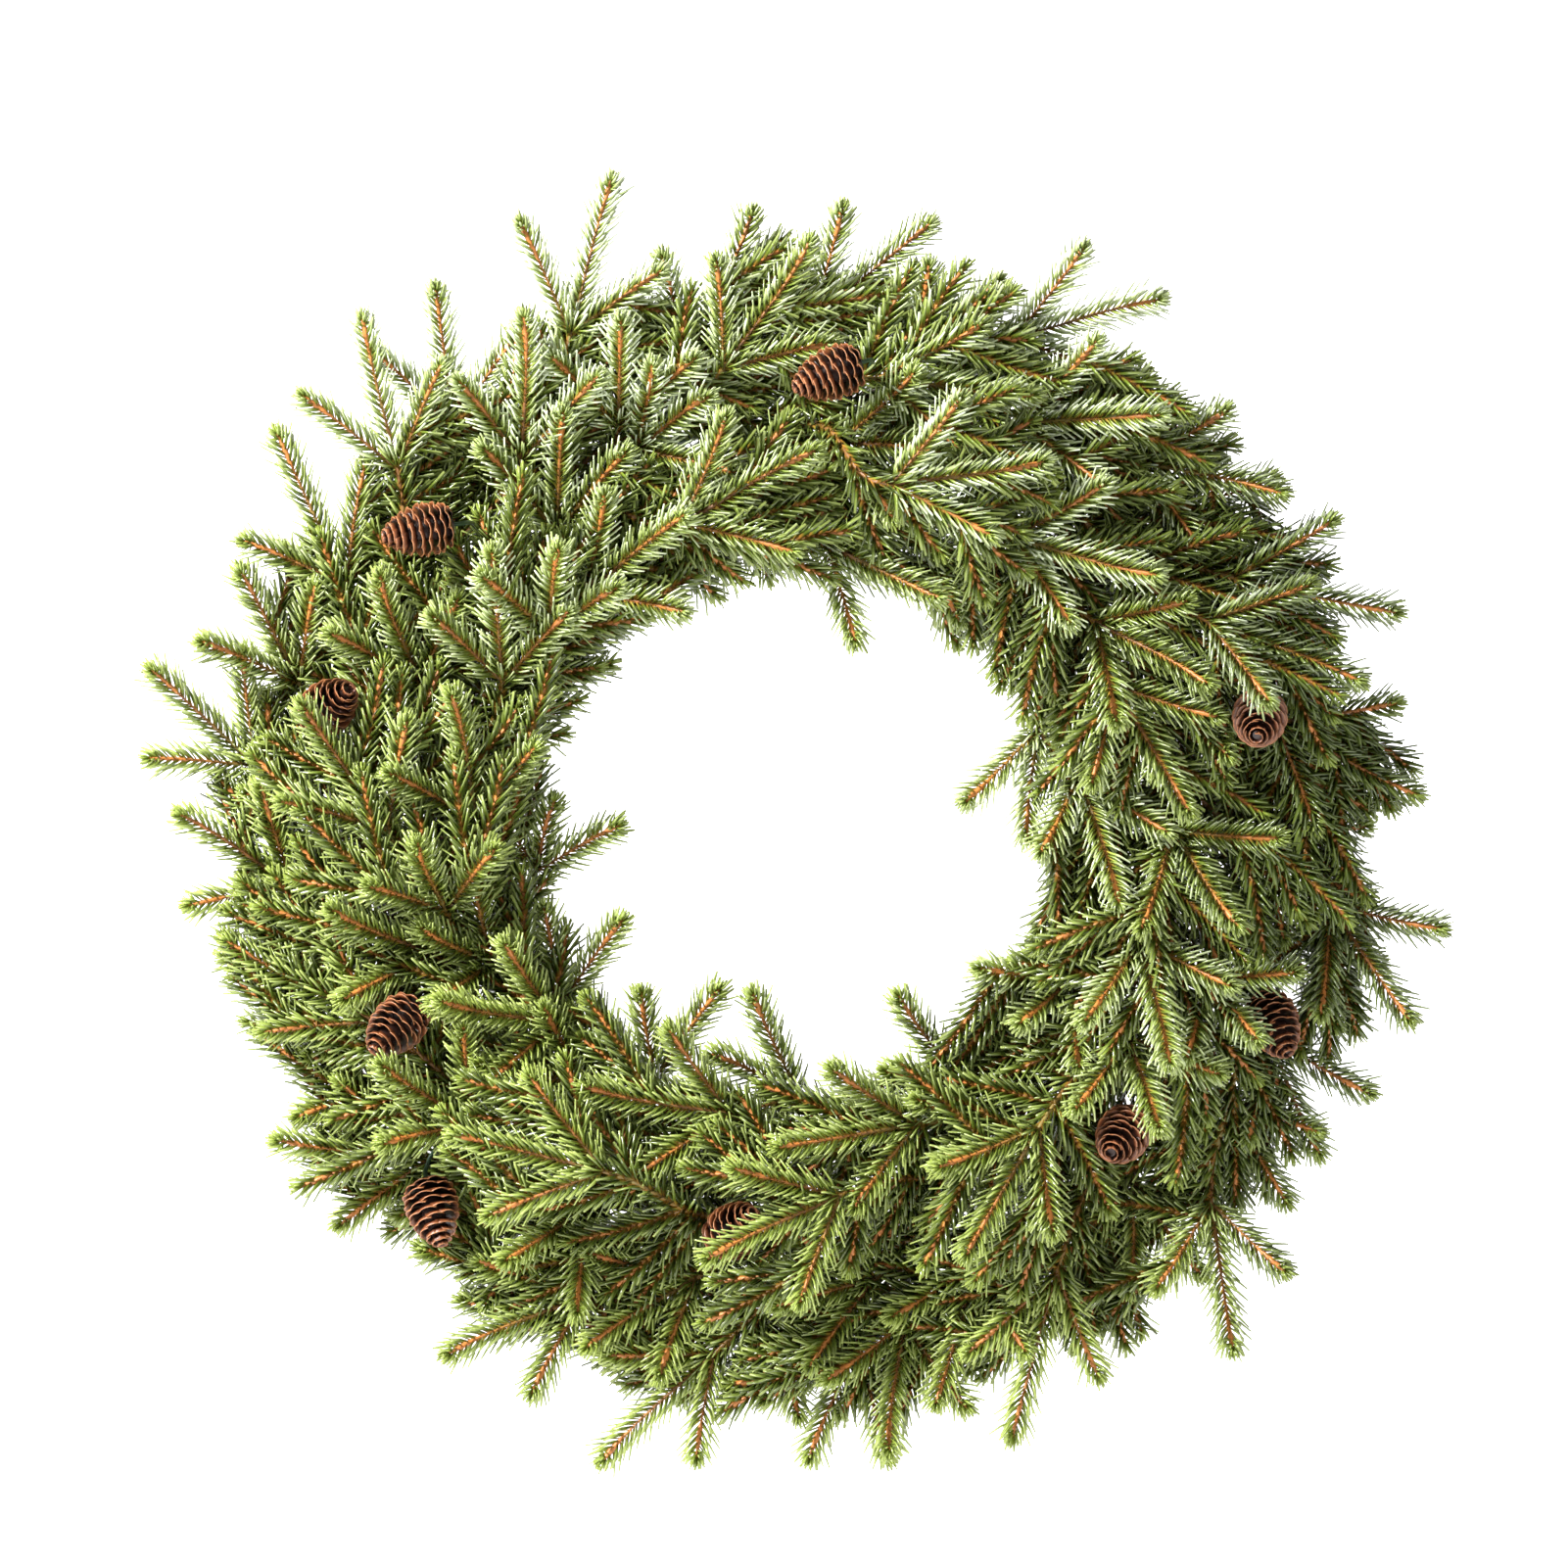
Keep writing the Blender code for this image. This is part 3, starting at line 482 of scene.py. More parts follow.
def backTwigPath(start, way, length, drop):
    across = Vector((way.x, 0, way.z)).normalized()
    bow = across.cross(frontWay).normalized() * backTwigs["bow"]
    if bow.dot(clockwiseWay(clockAngle(start))) < 0:
        bow = -bow
    steps, curl = backTwigs["steps"], backTwigs["curl"]
    return [start + across * (length * i / steps) + Vector((0, drop * length * math.sin(curl * i / steps), 0))
            + bow * (i / steps) ** 2 for i in range(steps + 1)]


# The back twigs that could leave one twig: their paths and the squares that they hide.
def choicesOn(twig):
    for s in np.arange(backTwigs["firstAt"], twig.length * backTwigs["lastPart"], backTwigs["every"]):
        start = twig.point(s)
        way = twig.point(s + 2 * mm) - start
        sweep = clockwiseWay(clockAngle(start))
        for lean in backTwigs["leans"]:
            turned = Matrix.Rotation(math.radians(lean), 3, frontWay) @ Vector((way.x, 0, way.z))
            if turned.normalized().dot(sweep) < backTwigs["leastSweep"]:
                continue
            for length, drop in zip(backTwigs["lengths"], backTwigs["drops"]):
                path = backTwigPath(start, turned, length, drop)
                reach = ((path[-1] - ringMiddle) * Vector((1, 0, 1))).length
                angle = clockAngle(path[-1])
                inside = (innerEdge(angle) - backTwigs["pastInner"] < reach
                          < foliageEdge(angle) + backTwigs["pastOuter"])
                if inside and max(point.y for point in path) <= backTwigs["deepest"]:
                    yield path, squaresUnder(path[1:], turned)


# How many layers of foliage each square still wants: the most in the body, fewer at the edges of the ring, less what
# the forked ends give.
def layersWanted(branches):
    cells = backTwigs["cells"]
    wanted = np.zeros(cells * cells)
    for i in range(cells):
        for k in range(cells):
            x, z = i - (cells - 1) / 2, k - (cells - 1) / 2
            far, angle = math.hypot(x, z) * backTwigs["cell"], math.degrees(math.atan2(x, z))
            inner, outer = innerEdge(angle), foliageEdge(angle)
            if inner < far < outer:
                inside = min(far - inner, outer - far) > backTwigs["rim"]
                wanted[i * cells + k] = backTwigs["layers"] if inside else backTwigs["rimLayers"]
    for twig in (twig for branch in branches for twig in branch["twigs"]):
        points = [twig.point(s) for s in np.arange(6 * mm, twig.length, 3 * mm)]
        hidden = {}
        for a, b in zip(points, points[1:]):
            for square, weight in squaresUnder([a], b - a).items():
                hidden[square] = max(hidden.get(square, 0), weight)
        wanted[list(hidden)] -= np.array(list(hidden.values()))
    return wanted


def addBackTwigs(branches, cones):
    wanted = layersWanted(branches)
    choices = [(number, *choice) for number, branch in enumerate(branches) for twig in branch["twigs"]
               for choice in choicesOn(twig)]
    size = max(len(c[2]) for c in choices)
    squares, weights = (np.array([list(values) + [0] * (size - len(values)) for values in lists])
                        for lists in ([c[2] for c in choices], [c[2].values() for c in choices]))
    taken = np.concatenate([branch["balls"] for branch in branches])[:, :3]
    coneBallList = np.concatenate([cone["balls"] for cone in cones])
    bodyBalls = coneBallList[coneBallList[:, 3] > backTwigs["wireBall"]]
    free = np.ones(len(choices), bool)
    for branch in branches:
        branch["back"] = []
    count = 0
    while count < backTwigs["most"] and free.any():
        gain = (np.clip(wanted[squares], 0, 1) * weights).sum(axis=1) / size * free
        best = int(gain.argmax())
        if gain[best] < backTwigs["leastNew"]:
            break
        free[best] = False
        number, path, under = choices[best]
        line = np.array([list(p) for p in path[2:]])
        gaps = np.linalg.norm(taken[None] - line[:, None], axis=2)
        fromCone = np.linalg.norm(coneBallList[None, :, :3] - line[:, None], axis=2) - coneBallList[None, :, 3]
        if gaps.min() < backTwigs["room"] or fromCone.min() < backTwigs["fromCone"]:
            continue
        # a back twig never crosses in front of a cone
        flat = np.linalg.norm((bodyBalls[None, :, :3] - line[:, None])[:, :, [0, 2]], axis=2)
        ahead = line[:, None, 1] < bodyBalls[None, :, 1]
        if ((flat - bodyBalls[None, :, 3] < backTwigs["besideCone"]) & ahead).any():
            continue
        wanted[list(under)] -= np.array(list(under.values()))
        taken = np.concatenate([taken, line])
        branches[number]["back"].append(path)
        count += 1
    print("back twigs:", count)


def addObject(name, data):
    thing = bpy.data.objects.new(name, data)
    bpy.context.scene.collection.objects.link(thing)
    return thing


def meshFrom(bm, name):
    mesh = bpy.data.meshes.new(name)
    bm.to_mesh(mesh)
    bm.free()
    return mesh


def addNode(tree, kind, **settings):
    node = tree.nodes.new(kind)
    for key, value in settings.items():
        setattr(node, key, value)
    return node


def feed(tree, socket, value):
    if isinstance(value, bpy.types.NodeSocket):
        tree.links.new(value, socket)
    else:
        socket.default_value = value


def firstLive(sockets):
    return next(s for s in sockets if s.enabled)


# Adds a node, feeds its live inputs by name, and hands back the named output or else the first live one.
def flow(tree, kind, inputs, out=None, **settings):
    node = addNode(tree, kind, **settings)
    for name, value in inputs.items():
        feed(tree, firstLive(s for s in node.inputs if s.name == name), value)
    return node.outputs[out] if out else firstLive(node.outputs)


def maths(tree, operation, *values, kind="ShaderNodeMath"):
    node = addNode(tree, kind, operation=operation)
    for socket, value in zip(node.inputs, values):
        feed(tree, socket, value)
    return firstLive(node.outputs)


def total(tree, *values):
    return reduce(lambda a, b: maths(tree, "ADD", a, b), values)


def product(tree, *values):
    return reduce(lambda a, b: maths(tree, "MULTIPLY", a, b), values)


def vectorMaths(tree, operation, *values):
    return maths(tree, operation, *values, kind="ShaderNodeVectorMath")


def scaled(tree, vector, factor):
    return flow(tree, "ShaderNodeVectorMath", {"Vector": vector, "Scale": factor}, operation="SCALE")


# One way turned towards another by an angle.
def turnedWay(tree, angle, first, second):
    return vectorMaths(tree, "ADD", scaled(tree, first, maths(tree, "COSINE", angle)),
                       scaled(tree, second, maths(tree, "SINE", angle)))


def ranged(tree, value, low, high, toLow, toHigh, kind="LINEAR"):
    return flow(tree, "ShaderNodeMapRange", {"Value": value, "From Min": low, "From Max": high, "To Min": toLow,
                                             "To Max": toHigh}, interpolation_type=kind)


def madeVector(tree, x, y, z):
    return flow(tree, "ShaderNodeCombineXYZ", {"X": x, "Y": y, "Z": z})


def splitVector(tree, vector):
    node = addNode(tree, "ShaderNodeSeparateXYZ")
    feed(tree, node.inputs[0], vector)
    return node.outputs


def randomValue(tree, low, high, seed):
    return flow(tree, "FunctionNodeRandomValue", {"Min": low, "Max": high, "Seed": seed}, data_type="FLOAT")


def storeFloat(tree, geometry, name, value):
    return flow(tree, "GeometryNodeStoreNamedAttribute", {"Geometry": geometry, "Name": name, "Value": value},
                data_type="FLOAT", domain="POINT")


def readFloat(tree, name):
    return flow(tree, "GeometryNodeInputNamedAttribute", {"Name": name}, data_type="FLOAT")


def joinAll(tree, parts):
    node = addNode(tree, "GeometryNodeJoinGeometry")
    for part in reversed(parts):
        tree.links.new(part, node.inputs[0])
    return node.outputs[0]


def withMaterial(tree, geometry, material):
    return flow(tree, "GeometryNodeSetMaterial", {"Geometry": geometry, "Material": material})


def resampled(tree, curve, mode, amount):
    return flow(tree, "GeometryNodeResampleCurve", {"Curve": curve, mode.title(): amount}, mode=mode)


def circle(tree, radius, sides):
    return flow(tree, "GeometryNodeCurvePrimitiveCircle", {"Resolution": sides, "Radius": radius}, mode="RADIUS")


def tube(tree, curve, radius, sides, thickness=1.0):
    return flow(tree, "GeometryNodeCurveToMesh", {"Curve": curve, "Profile Curve": circle(tree, radius, sides),
                                                  "Scale": thickness, "Fill Caps": True})


# Copies of a shape on some points, each with its length along a way and its front turned to another.
def placedOn(tree, points, shape, way, front, scale, chosen=True):
    pointed = flow(tree, "FunctionNodeAlignRotationToVector", {"Vector": way}, axis="Z")
    turned = flow(tree, "FunctionNodeAlignRotationToVector", {"Rotation": pointed, "Vector": front}, axis="Y",
                  pivot_axis="Z")
    return flow(tree, "GeometryNodeInstanceOnPoints", {"Points": points, "Selection": chosen, "Instance": shape,
                                                       "Rotation": turned, "Scale": scale})


def newTree(name, inputs):
    tree = bpy.data.node_groups.new(name, "GeometryNodeTree")
    tree.interface.new_socket("Geometry", in_out="INPUT", socket_type="NodeSocketGeometry")
    for label, (kind, default) in inputs.items():
        socket = tree.interface.new_socket(label, in_out="INPUT", socket_type="NodeSocket" + kind)
        if default is not None:
            socket.default_value = default
    tree.interface.new_socket("Geometry", in_out="OUTPUT", socket_type="NodeSocketGeometry")
    return tree, addNode(tree, "NodeGroupInput").outputs


def endTree(tree, geometry):
    smooth = flow(tree, "GeometryNodeSetShadeSmooth", {"Geometry": geometry})
    feed(tree, addNode(tree, "NodeGroupOutput").inputs["Geometry"], smooth)
    return tree


# Runs a tree on an object with the given inputs, and hands back the result as a plain mesh.
def grown(source, tree, values):
    modifier = source.modifiers.new("grow", "NODES")
    modifier.node_group = tree
    for item in tree.interface.items_tree:
        if item.in_out == "INPUT" and item.name in values:
            modifier[item.identifier] = values[item.name]
    bpy.context.view_layer.update()
    graph = bpy.context.evaluated_depsgraph_get()
    mesh = bpy.data.meshes.new_from_object(source.evaluated_get(graph))
    bpy.data.objects.remove(source)
    return mesh


# Joins some meshes into one object that rides on the model in place of a CAD node.
def makePiece(name, meshes, node):
    parts = [addObject(name, mesh) for mesh in meshes]
    piece = parts[0]
    if len(parts) > 1:
        with bpy.context.temp_override(active_object=piece, selected_editable_objects=parts):
            bpy.ops.object.join()
    piece.data.name = name
    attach(piece, "root")
    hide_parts(node)
    return len(piece.data.loops) - 2 * len(piece.data.polygons)    # its triangles


def newMaterial(name, rough):
    material = bpy.data.materials.new(name)
    material.use_nodes = True
    shader = material.node_tree.nodes["Principled BSDF"]
    shader.inputs["Roughness"].default_value = rough
    return material, material.node_tree, shader.inputs


def attributeOf(tree, name):
    return flow(tree, "ShaderNodeAttribute", {}, "Fac", attribute_name=name)


def objectPlace(tree):
    return flow(tree, "ShaderNodeTexCoord", {}, "Object")


def mixColours(tree, factor, first, second):
    first, second = (c if isinstance(c, bpy.types.NodeSocket) else (*c, 1) for c in (first, second))
    return flow(tree, "ShaderNodeMix", {"Factor": factor, "A": first, "B": second}, data_type="RGBA")


# Lays colours over one another. Each has the value that shows it and that value's range.
def layered(tree, colour, *layers):
    for value, span, over in layers:
        colour = mixColours(tree, ranged(tree, value, *span), colour, over)
    return colour


def noiseOf(tree, scale, detail=2.0):
    return flow(tree, "ShaderNodeTexNoise", {"Vector": objectPlace(tree), "Scale": scale, "Detail": detail})


# Fine grain as a group that the twigs, the cones and the wire share: a mask for the colour, and a normal.
def makeGrainGroup():
    group = bpy.data.node_groups.new("fine grain", "ShaderNodeTree")
    for label in ("Scale", "Detail", "Depth", "Strength"):
        group.interface.new_socket(label, in_out="INPUT", socket_type="NodeSocketFloat")
    group.interface.new_socket("Grain", in_out="OUTPUT", socket_type="NodeSocketFloat")
    group.interface.new_socket("Normal", in_out="OUTPUT", socket_type="NodeSocketVector")
    given, result = addNode(group, "NodeGroupInput").outputs, addNode(group, "NodeGroupOutput").inputs
    grain = noiseOf(group, given["Scale"], given["Detail"])
    feed(group, result["Grain"], grain)
    feed(group, result["Normal"], flow(group, "ShaderNodeBump", {
        "Height": grain, "Distance": given["Depth"], "Strength": given["Strength"]}))
    return group


grainGroup = makeGrainGroup()


def addGrain(tree, shader, scale, detail, depth, strength):
    node = addNode(tree, "ShaderNodeGroup", node_tree=grainGroup)
    for label, value in (("Scale", scale), ("Detail", detail), ("Depth", depth), ("Strength", strength)):
        node.inputs[label].default_value = value
    feed(tree, shader["Normal"], node.outputs["Normal"])
    return node.outputs["Grain"]


# The needles' colours hold painted light: a lighter top, whitened ends at the upper right as a painted highlight, and
# painted shade on the outer right and on the deeper twigs.
needleFinish = {"shade": (0.052, 0.076, 0.009), "green": (0.176, 0.242, 0.029), "pale": (0.350, 0.430, 0.085),
                "bud": (0.240, 0.305, 0.045), "root": (0.40, 0.17, 0.028), "tip": (0.43, 0.485, 0.165),
                "paintedHighlight": (0.74, 0.81, 0.62), "rough": 0.25, "ownTone": 0.6, "sprayTone": 0.4,
                "paintedTopLightAt": (-0.04, 0.03, 0.0, 0.25), "greenAt": (0.0, 0.5, 0.0, 1.0), "paleAt": (0.55, 1.0, 0.0, 0.75),
                "tipAt": (0.4, 1.0, 0.0, 0.55), "tipTone": (-0.1, 0.4, 0.25, 1.0), "highlightLean": 0.5,
                "paintedHighlightAt": (-0.34, -0.04, 0.0, 0.9), "highlightUp": (0.35, 0.95, 0.0, 1.0),
                "highlightTone": (0.35, 0.85, 0.0, 1.0), "paintedShadeRightAt": (0.165, 0.235, 0.0, 0.75),
                "budAt": (0.002, 0.010, 0.6, 0.0), "rootAt": (0.04, 0.26, 0.8, 0.0)}
twigFinish = {"near": (0.53, 0.185, 0.040), "far": (0.17, 0.078, 0.022), "olive": (0.22, 0.19, 0.045),
              "rough": 0.45, "patches": 22, "oliveAt": (0.45, 0.6, 0.0, 0.8), "agedAt": (0.012, 0.045, 0.0, 0.95),
              "speckleAt": (0.48, 0.66, 0.0, 0.5), "grain": (380, 2.0, 0.5 * mm, 1.0)}


def needleMaterial():
    material, tree, shader = newMaterial("moulded needles", needleFinish["rough"])
    fromEnd, up = attributeOf(tree, "fromEnd"), attributeOf(tree, "upNeedle")
    where = splitVector(tree, objectPlace(tree))
    # each needle has its own tone and its branch's, which is negative on the stems and back twigs as painted shade, and
    # painted light makes the top lighter
    tone = total(tree, product(tree, attributeOf(tree, "tone"), needleFinish["ownTone"]),
                 product(tree, attributeOf(tree, "sprayTone"), needleFinish["sprayTone"]),
                 ranged(tree, where["Z"], *needleFinish["paintedTopLightAt"]))
    colour = layered(tree, needleFinish["shade"], (tone, needleFinish["greenAt"], needleFinish["green"]),
                     (tone, needleFinish["paleAt"], needleFinish["pale"]))
    ends = product(tree, ranged(tree, up, *needleFinish["tipAt"]), ranged(tree, tone, *needleFinish["tipTone"]))
    colour = mixColours(tree, ends, colour, needleFinish["tip"])
    # painted highlight: the needles' ends are whitened at the upper right
    height = total(tree, where["Z"], product(tree, where["X"], needleFinish["highlightLean"]))
    paintedHighlight = product(tree, ranged(tree, height, *needleFinish["paintedHighlightAt"]),
                    ranged(tree, up, *needleFinish["highlightUp"]), ranged(tree, tone, *needleFinish["highlightTone"]))
    colour = mixColours(tree, paintedHighlight, colour, needleFinish["paintedHighlight"])
    # painted shade darkens the outer right side, the tips' ends are fresh green and the needles' roots brown
    colour = layered(tree, colour, (where["X"], needleFinish["paintedShadeRightAt"], needleFinish["shade"]),
                     (fromEnd, needleFinish["budAt"], needleFinish["bud"]),
                     (up, needleFinish["rootAt"], needleFinish["root"]))
    feed(tree, shader["Base Color"], colour)
    return material


def twigMaterial():
    material, tree, shader = newMaterial("moulded twigs", twigFinish["rough"])
    speckle, patch = addGrain(tree, shader, *twigFinish["grain"]), noiseOf(tree, twigFinish["patches"])
    aged = layered(tree, twigFinish["far"], (patch, twigFinish["oliveAt"], twigFinish["olive"]))
    colour = layered(tree, twigFinish["near"], (attributeOf(tree, "fromEnd"), twigFinish["agedAt"], aged),
                     (speckle, twigFinish["speckleAt"], twigFinish["far"]))
    feed(tree, shader["Base Color"], colour)
    return material


# A needle's corners around it, and its stations: how far along it is and how wide there.
needleShape = {"length": 14.0 * mm, "halfWidth": 1.0 * mm, "halfThick": 0.66 * mm, "bend": 2.8 * mm,
               "corners": ((-1, -0.45), (1, -0.45), (0, 1)), "fine": ((0, 0.55), (0.55, 1.0), (1, 0.58)),
               "plain": ((0, 0.95), (1, 0.6)), "looseTurn": 0.09, "looseLean": 4.0, "sizes": (0.88, 1.08)}
# backPaintedShade sets how much darker the stems' and back twigs' needles are painted: painted shade of the deeper
# foliage.
sprayShape = {"rows": 6, "firstTurn": 0.25, "rowPitch": 4.2 * mm, "stemPitch": 8.4 * mm, "backPitch": 6.0 * mm,
              "backWidth": 1.25, "backPaintedShade": 0.35, "lean": 55, "endLean": 46, "crowd": 0.12,
              "neck": 9 * mm, "neckSize": 0.5, "budLength": 3.2 * mm, "budNeedles": 24, "backBudNeedles": 9,
              "budSize": 0.4, "budTurn": 2.39996, "budRise": (0.985, -0.35), "pressedFrom": 4 * mm, "pressedBy": 0.7,
              "bareFoot": 9 * mm, "twigStep": 4.4 * mm, "twigSides": 5, "backTwigStep": 6.4 * mm, "backTwigSides": 4,
              "twigRadii": (0.6 * mm, 0.95 * mm), "twigPart": 0.62, "backTwigRadius": 0.62 * mm, "swell": 2.1,
              "knobs": (0.65, 1.3), "toneSeed": 500, "stemSeed": 60, "backSeed": 120}


# One needle, root at the origin, along +Z and bent a little towards +Y, with a cut end.
def needleMesh(stations):
    bm = bmesh.new()
    rings = []
    for part, wide in stations:
        middle = Vector((0, needleShape["bend"] * part ** 2, needleShape["length"] * part))
        rings.append([bm.verts.new(middle + Vector((x * needleShape["halfWidth"] * wide,
                                                    y * needleShape["halfThick"] * wide, 0)))
                      for x, y in needleShape["corners"]])
    count = len(rings[0])
    for low, high in zip(rings, rings[1:]):
        for k in range(count):
            bm.faces.new((low[k], low[(k + 1) % count], high[(k + 1) % count], high[k]))
    bm.faces.new(rings[-1])
    bm.faces.new(reversed(rings[0]))
    bmesh.ops.recalc_face_normals(bm, faces=bm.faces)
    mesh = meshFrom(bm, "one needle")
    along = mesh.attributes.new("upNeedle", "FLOAT", "POINT")
    along.data.foreach_set("value", [v.co.z / needleShape["length"] for v in mesh.vertices])
    return addObject("one needle", mesh)


# Needles on every point of some curves, three around the twig and the next three between them, so that they stand in
# rows as in the mould, a little further apart on the twig's front.
def needlesOn(tree, curve, given, needle, fromEnd, step, lean, size, seed):
    index, tangent = flow(tree, "GeometryNodeInputIndex", {}), flow(tree, "GeometryNodeInputTangent", {})
    across = scaled(tree, tangent, vectorMaths(tree, "DOT_PRODUCT", tangent, tuple(frontWay)))
    front = vectorMaths(tree, "NORMALIZE", vectorMaths(tree, "SUBTRACT", tuple(frontWay), across))
    side = vectorMaths(tree, "CROSS_PRODUCT", tangent, front)
    seeds = total(tree, product(tree, given["Seed"], 20.0), seed)
    nextThree = maths(tree, "FLOOR", maths(tree, "DIVIDE", index, 3.0))
    loose = needleShape["looseTurn"]
    turn = total(tree, product(tree, total(tree, index, sprayShape["firstTurn"]), step),
                 product(tree, nextThree, math.pi / 3), randomValue(tree, -loose, loose, seeds))
    turn = total(tree, turn, product(tree, maths(tree, "SINE", product(tree, turn, 2.0)), given["Crowding"]))
    loose = needleShape["looseLean"]
    lean = maths(tree, "RADIANS", total(tree, lean, randomValue(tree, -loose, loose, total(tree, seeds, 1.0))))
    way = turnedWay(tree, lean, tangent, turnedWay(tree, turn, front, side))
    long = product(tree, size, randomValue(tree, *needleShape["sizes"], total(tree, seeds, 2.0)))
    wide = product(tree, maths(tree, "POWER", long, 0.3), given["Needle width"])
    marked = storeFloat(tree, curve, "fromEnd", fromEnd)
    marked = storeFloat(tree, marked, "tone", randomValue(tree, 0.0, 1.0, total(tree, seeds, 3.0)))
    return placedOn(tree, marked, needle, way, tangent, madeVector(tree, wide, wide, long),
                    maths(tree, "LESS_THAN", readFloat(tree, "bare"), 0.5))


def splineLength(tree):
    return flow(tree, "GeometryNodeSplineLength", {}, "Length")


def distanceFromEnd(tree):
    return maths(tree, "SUBTRACT", splineLength(tree), flow(tree, "GeometryNodeSplineParameter", {}, "Length"))


def lastStretch(tree, curve, reach):
    length = splineLength(tree)
    return flow(tree, "GeometryNodeTrimCurve", {"Curve": curve, "Start": maths(tree, "SUBTRACT", length, reach),
                                                "End": length}, mode="LENGTH")


def sprayTree(needleStuff, twigStuff):
    tree, given = newTree("moulded spray", {
        "Needle": ("Object", None), "Row pitch": ("Float", sprayShape["rowPitch"]),
        "Crowding": ("Float", sprayShape["crowd"]), "Neck": ("Float", sprayShape["neck"]),
        "Needle width": ("Float", 1.0), "Cut short by": ("Float", 0.0), "Twig step": ("Float", sprayShape["twigStep"]),
        "Twig sides": ("Int", sprayShape["twigSides"]), "Bud length": ("Float", sprayShape["budLength"]),
        "Bud needles": ("Int", sprayShape["budNeedles"]), "Spray tone": ("Float", 0.5),
        "Seed": ("Int", 1)})
    needle = flow(tree, "GeometryNodeObjectInfo", {"Object": given["Needle"]}, "Geometry")
    curves = flow(tree, "GeometryNodeMeshToCurve", {"Mesh": given["Geometry"]})
    fromEnd = total(tree, distanceFromEnd(tree), given["Cut short by"])
    spaced = resampled(tree, curves, "LENGTH", maths(tree, "DIVIDE", given["Row pitch"], sprayShape["rows"]))
    lean = ranged(tree, fromEnd, 0.0, given["Neck"], sprayShape["endLean"], sprayShape["lean"])
    size = ranged(tree, fromEnd, product(tree, given["Neck"], 0.15), given["Neck"], sprayShape["neckSize"], 1.0,
                  "SMOOTHSTEP")
    needles = needlesOn(tree, spaced, given, needle, fromEnd, math.pi / 1.5, lean, size, 1.0)
    # the bud: short needles that fan out from the end like half a ball
    ball = maths(tree, "ARCCOSINE", ranged(tree, fromEnd, 0.0, given["Bud length"], *sprayShape["budRise"]))
    spaced = resampled(tree, lastStretch(tree, curves, given["Bud length"]), "COUNT", given["Bud needles"])
    buds = needlesOn(tree, spaced, given, needle, fromEnd, sprayShape["budTurn"], maths(tree, "DEGREES", ball),
                     sprayShape["budSize"], 11.0)
    real = flow(tree, "GeometryNodeRealizeInstances", {"Geometry": joinAll(tree, [needles, buds])})
    # the twig, knobbly, and thicker a little behind its end
    swell = product(tree, ranged(tree, fromEnd, 0.0, 4 * mm, 0.5, 1.0, "SMOOTHSTEP"),
                    ranged(tree, fromEnd, 8 * mm, 22 * mm, sprayShape["swell"], 1.0, "SMOOTHSTEP"),
                    randomValue(tree, *sprayShape["knobs"], given["Seed"]))
    marked = storeFloat(tree, resampled(tree, curves, "LENGTH", given["Twig step"]), "fromEnd", fromEnd)
    twigs = tube(tree, marked, 1.0, given["Twig sides"], product(tree, readFloat(tree, "thickness"), swell))
    whole = joinAll(tree, [withMaterial(tree, twigs, twigStuff), withMaterial(tree, real, needleStuff)])
    whole = storeFloat(tree, whole, "sprayTone", given["Spray tone"])
    # what would reach the door is pressed flat against it
    deep = splitVector(tree, flow(tree, "GeometryNodeInputPosition", {}))["Y"]
    past = maths(tree, "MAXIMUM", total(tree, deep, sprayShape["pressedFrom"]), 0.0)
    back = madeVector(tree, 0.0, product(tree, past, -sprayShape["pressedBy"]), 0.0)
    return endTree(tree, flow(tree, "GeometryNodeSetPosition", {"Geometry": whole, "Offset": back}))


# The middle lines of some twigs as chains of edges, with the twig's half thickness at each point, and a mark where
# it is bare.
def twigLines(lines):
    points, edges, thick, bare = [], [], [], []
    for line in lines:
        for i, (point, radius, isBare) in enumerate(line):
            if i:
                edges.append((len(points) - 1, len(points)))
            points.append(point)
            thick.append(radius)
            bare.append(isBare)
    mesh = bpy.data.meshes.new("twig lines")
    mesh.from_pydata(points, edges, [])
    for name, values in (("thickness", thick), ("bare", bare)):
        mesh.attributes.new(name, "FLOAT", "POINT").data.foreach_set("value", values)
    return addObject("twig lines", mesh)


def twigLine(twig, start, end, bareUntil=-1.0):
    marks = list(np.arange(start, end - 1 * mm, 2.5 * mm)) + [end]
    least, most = sprayShape["twigRadii"]
    return [(twig.point(s), max(least, min(twig.radius(s) * sprayShape["twigPart"], most)), float(s < bareUntil))
            for s in marks]


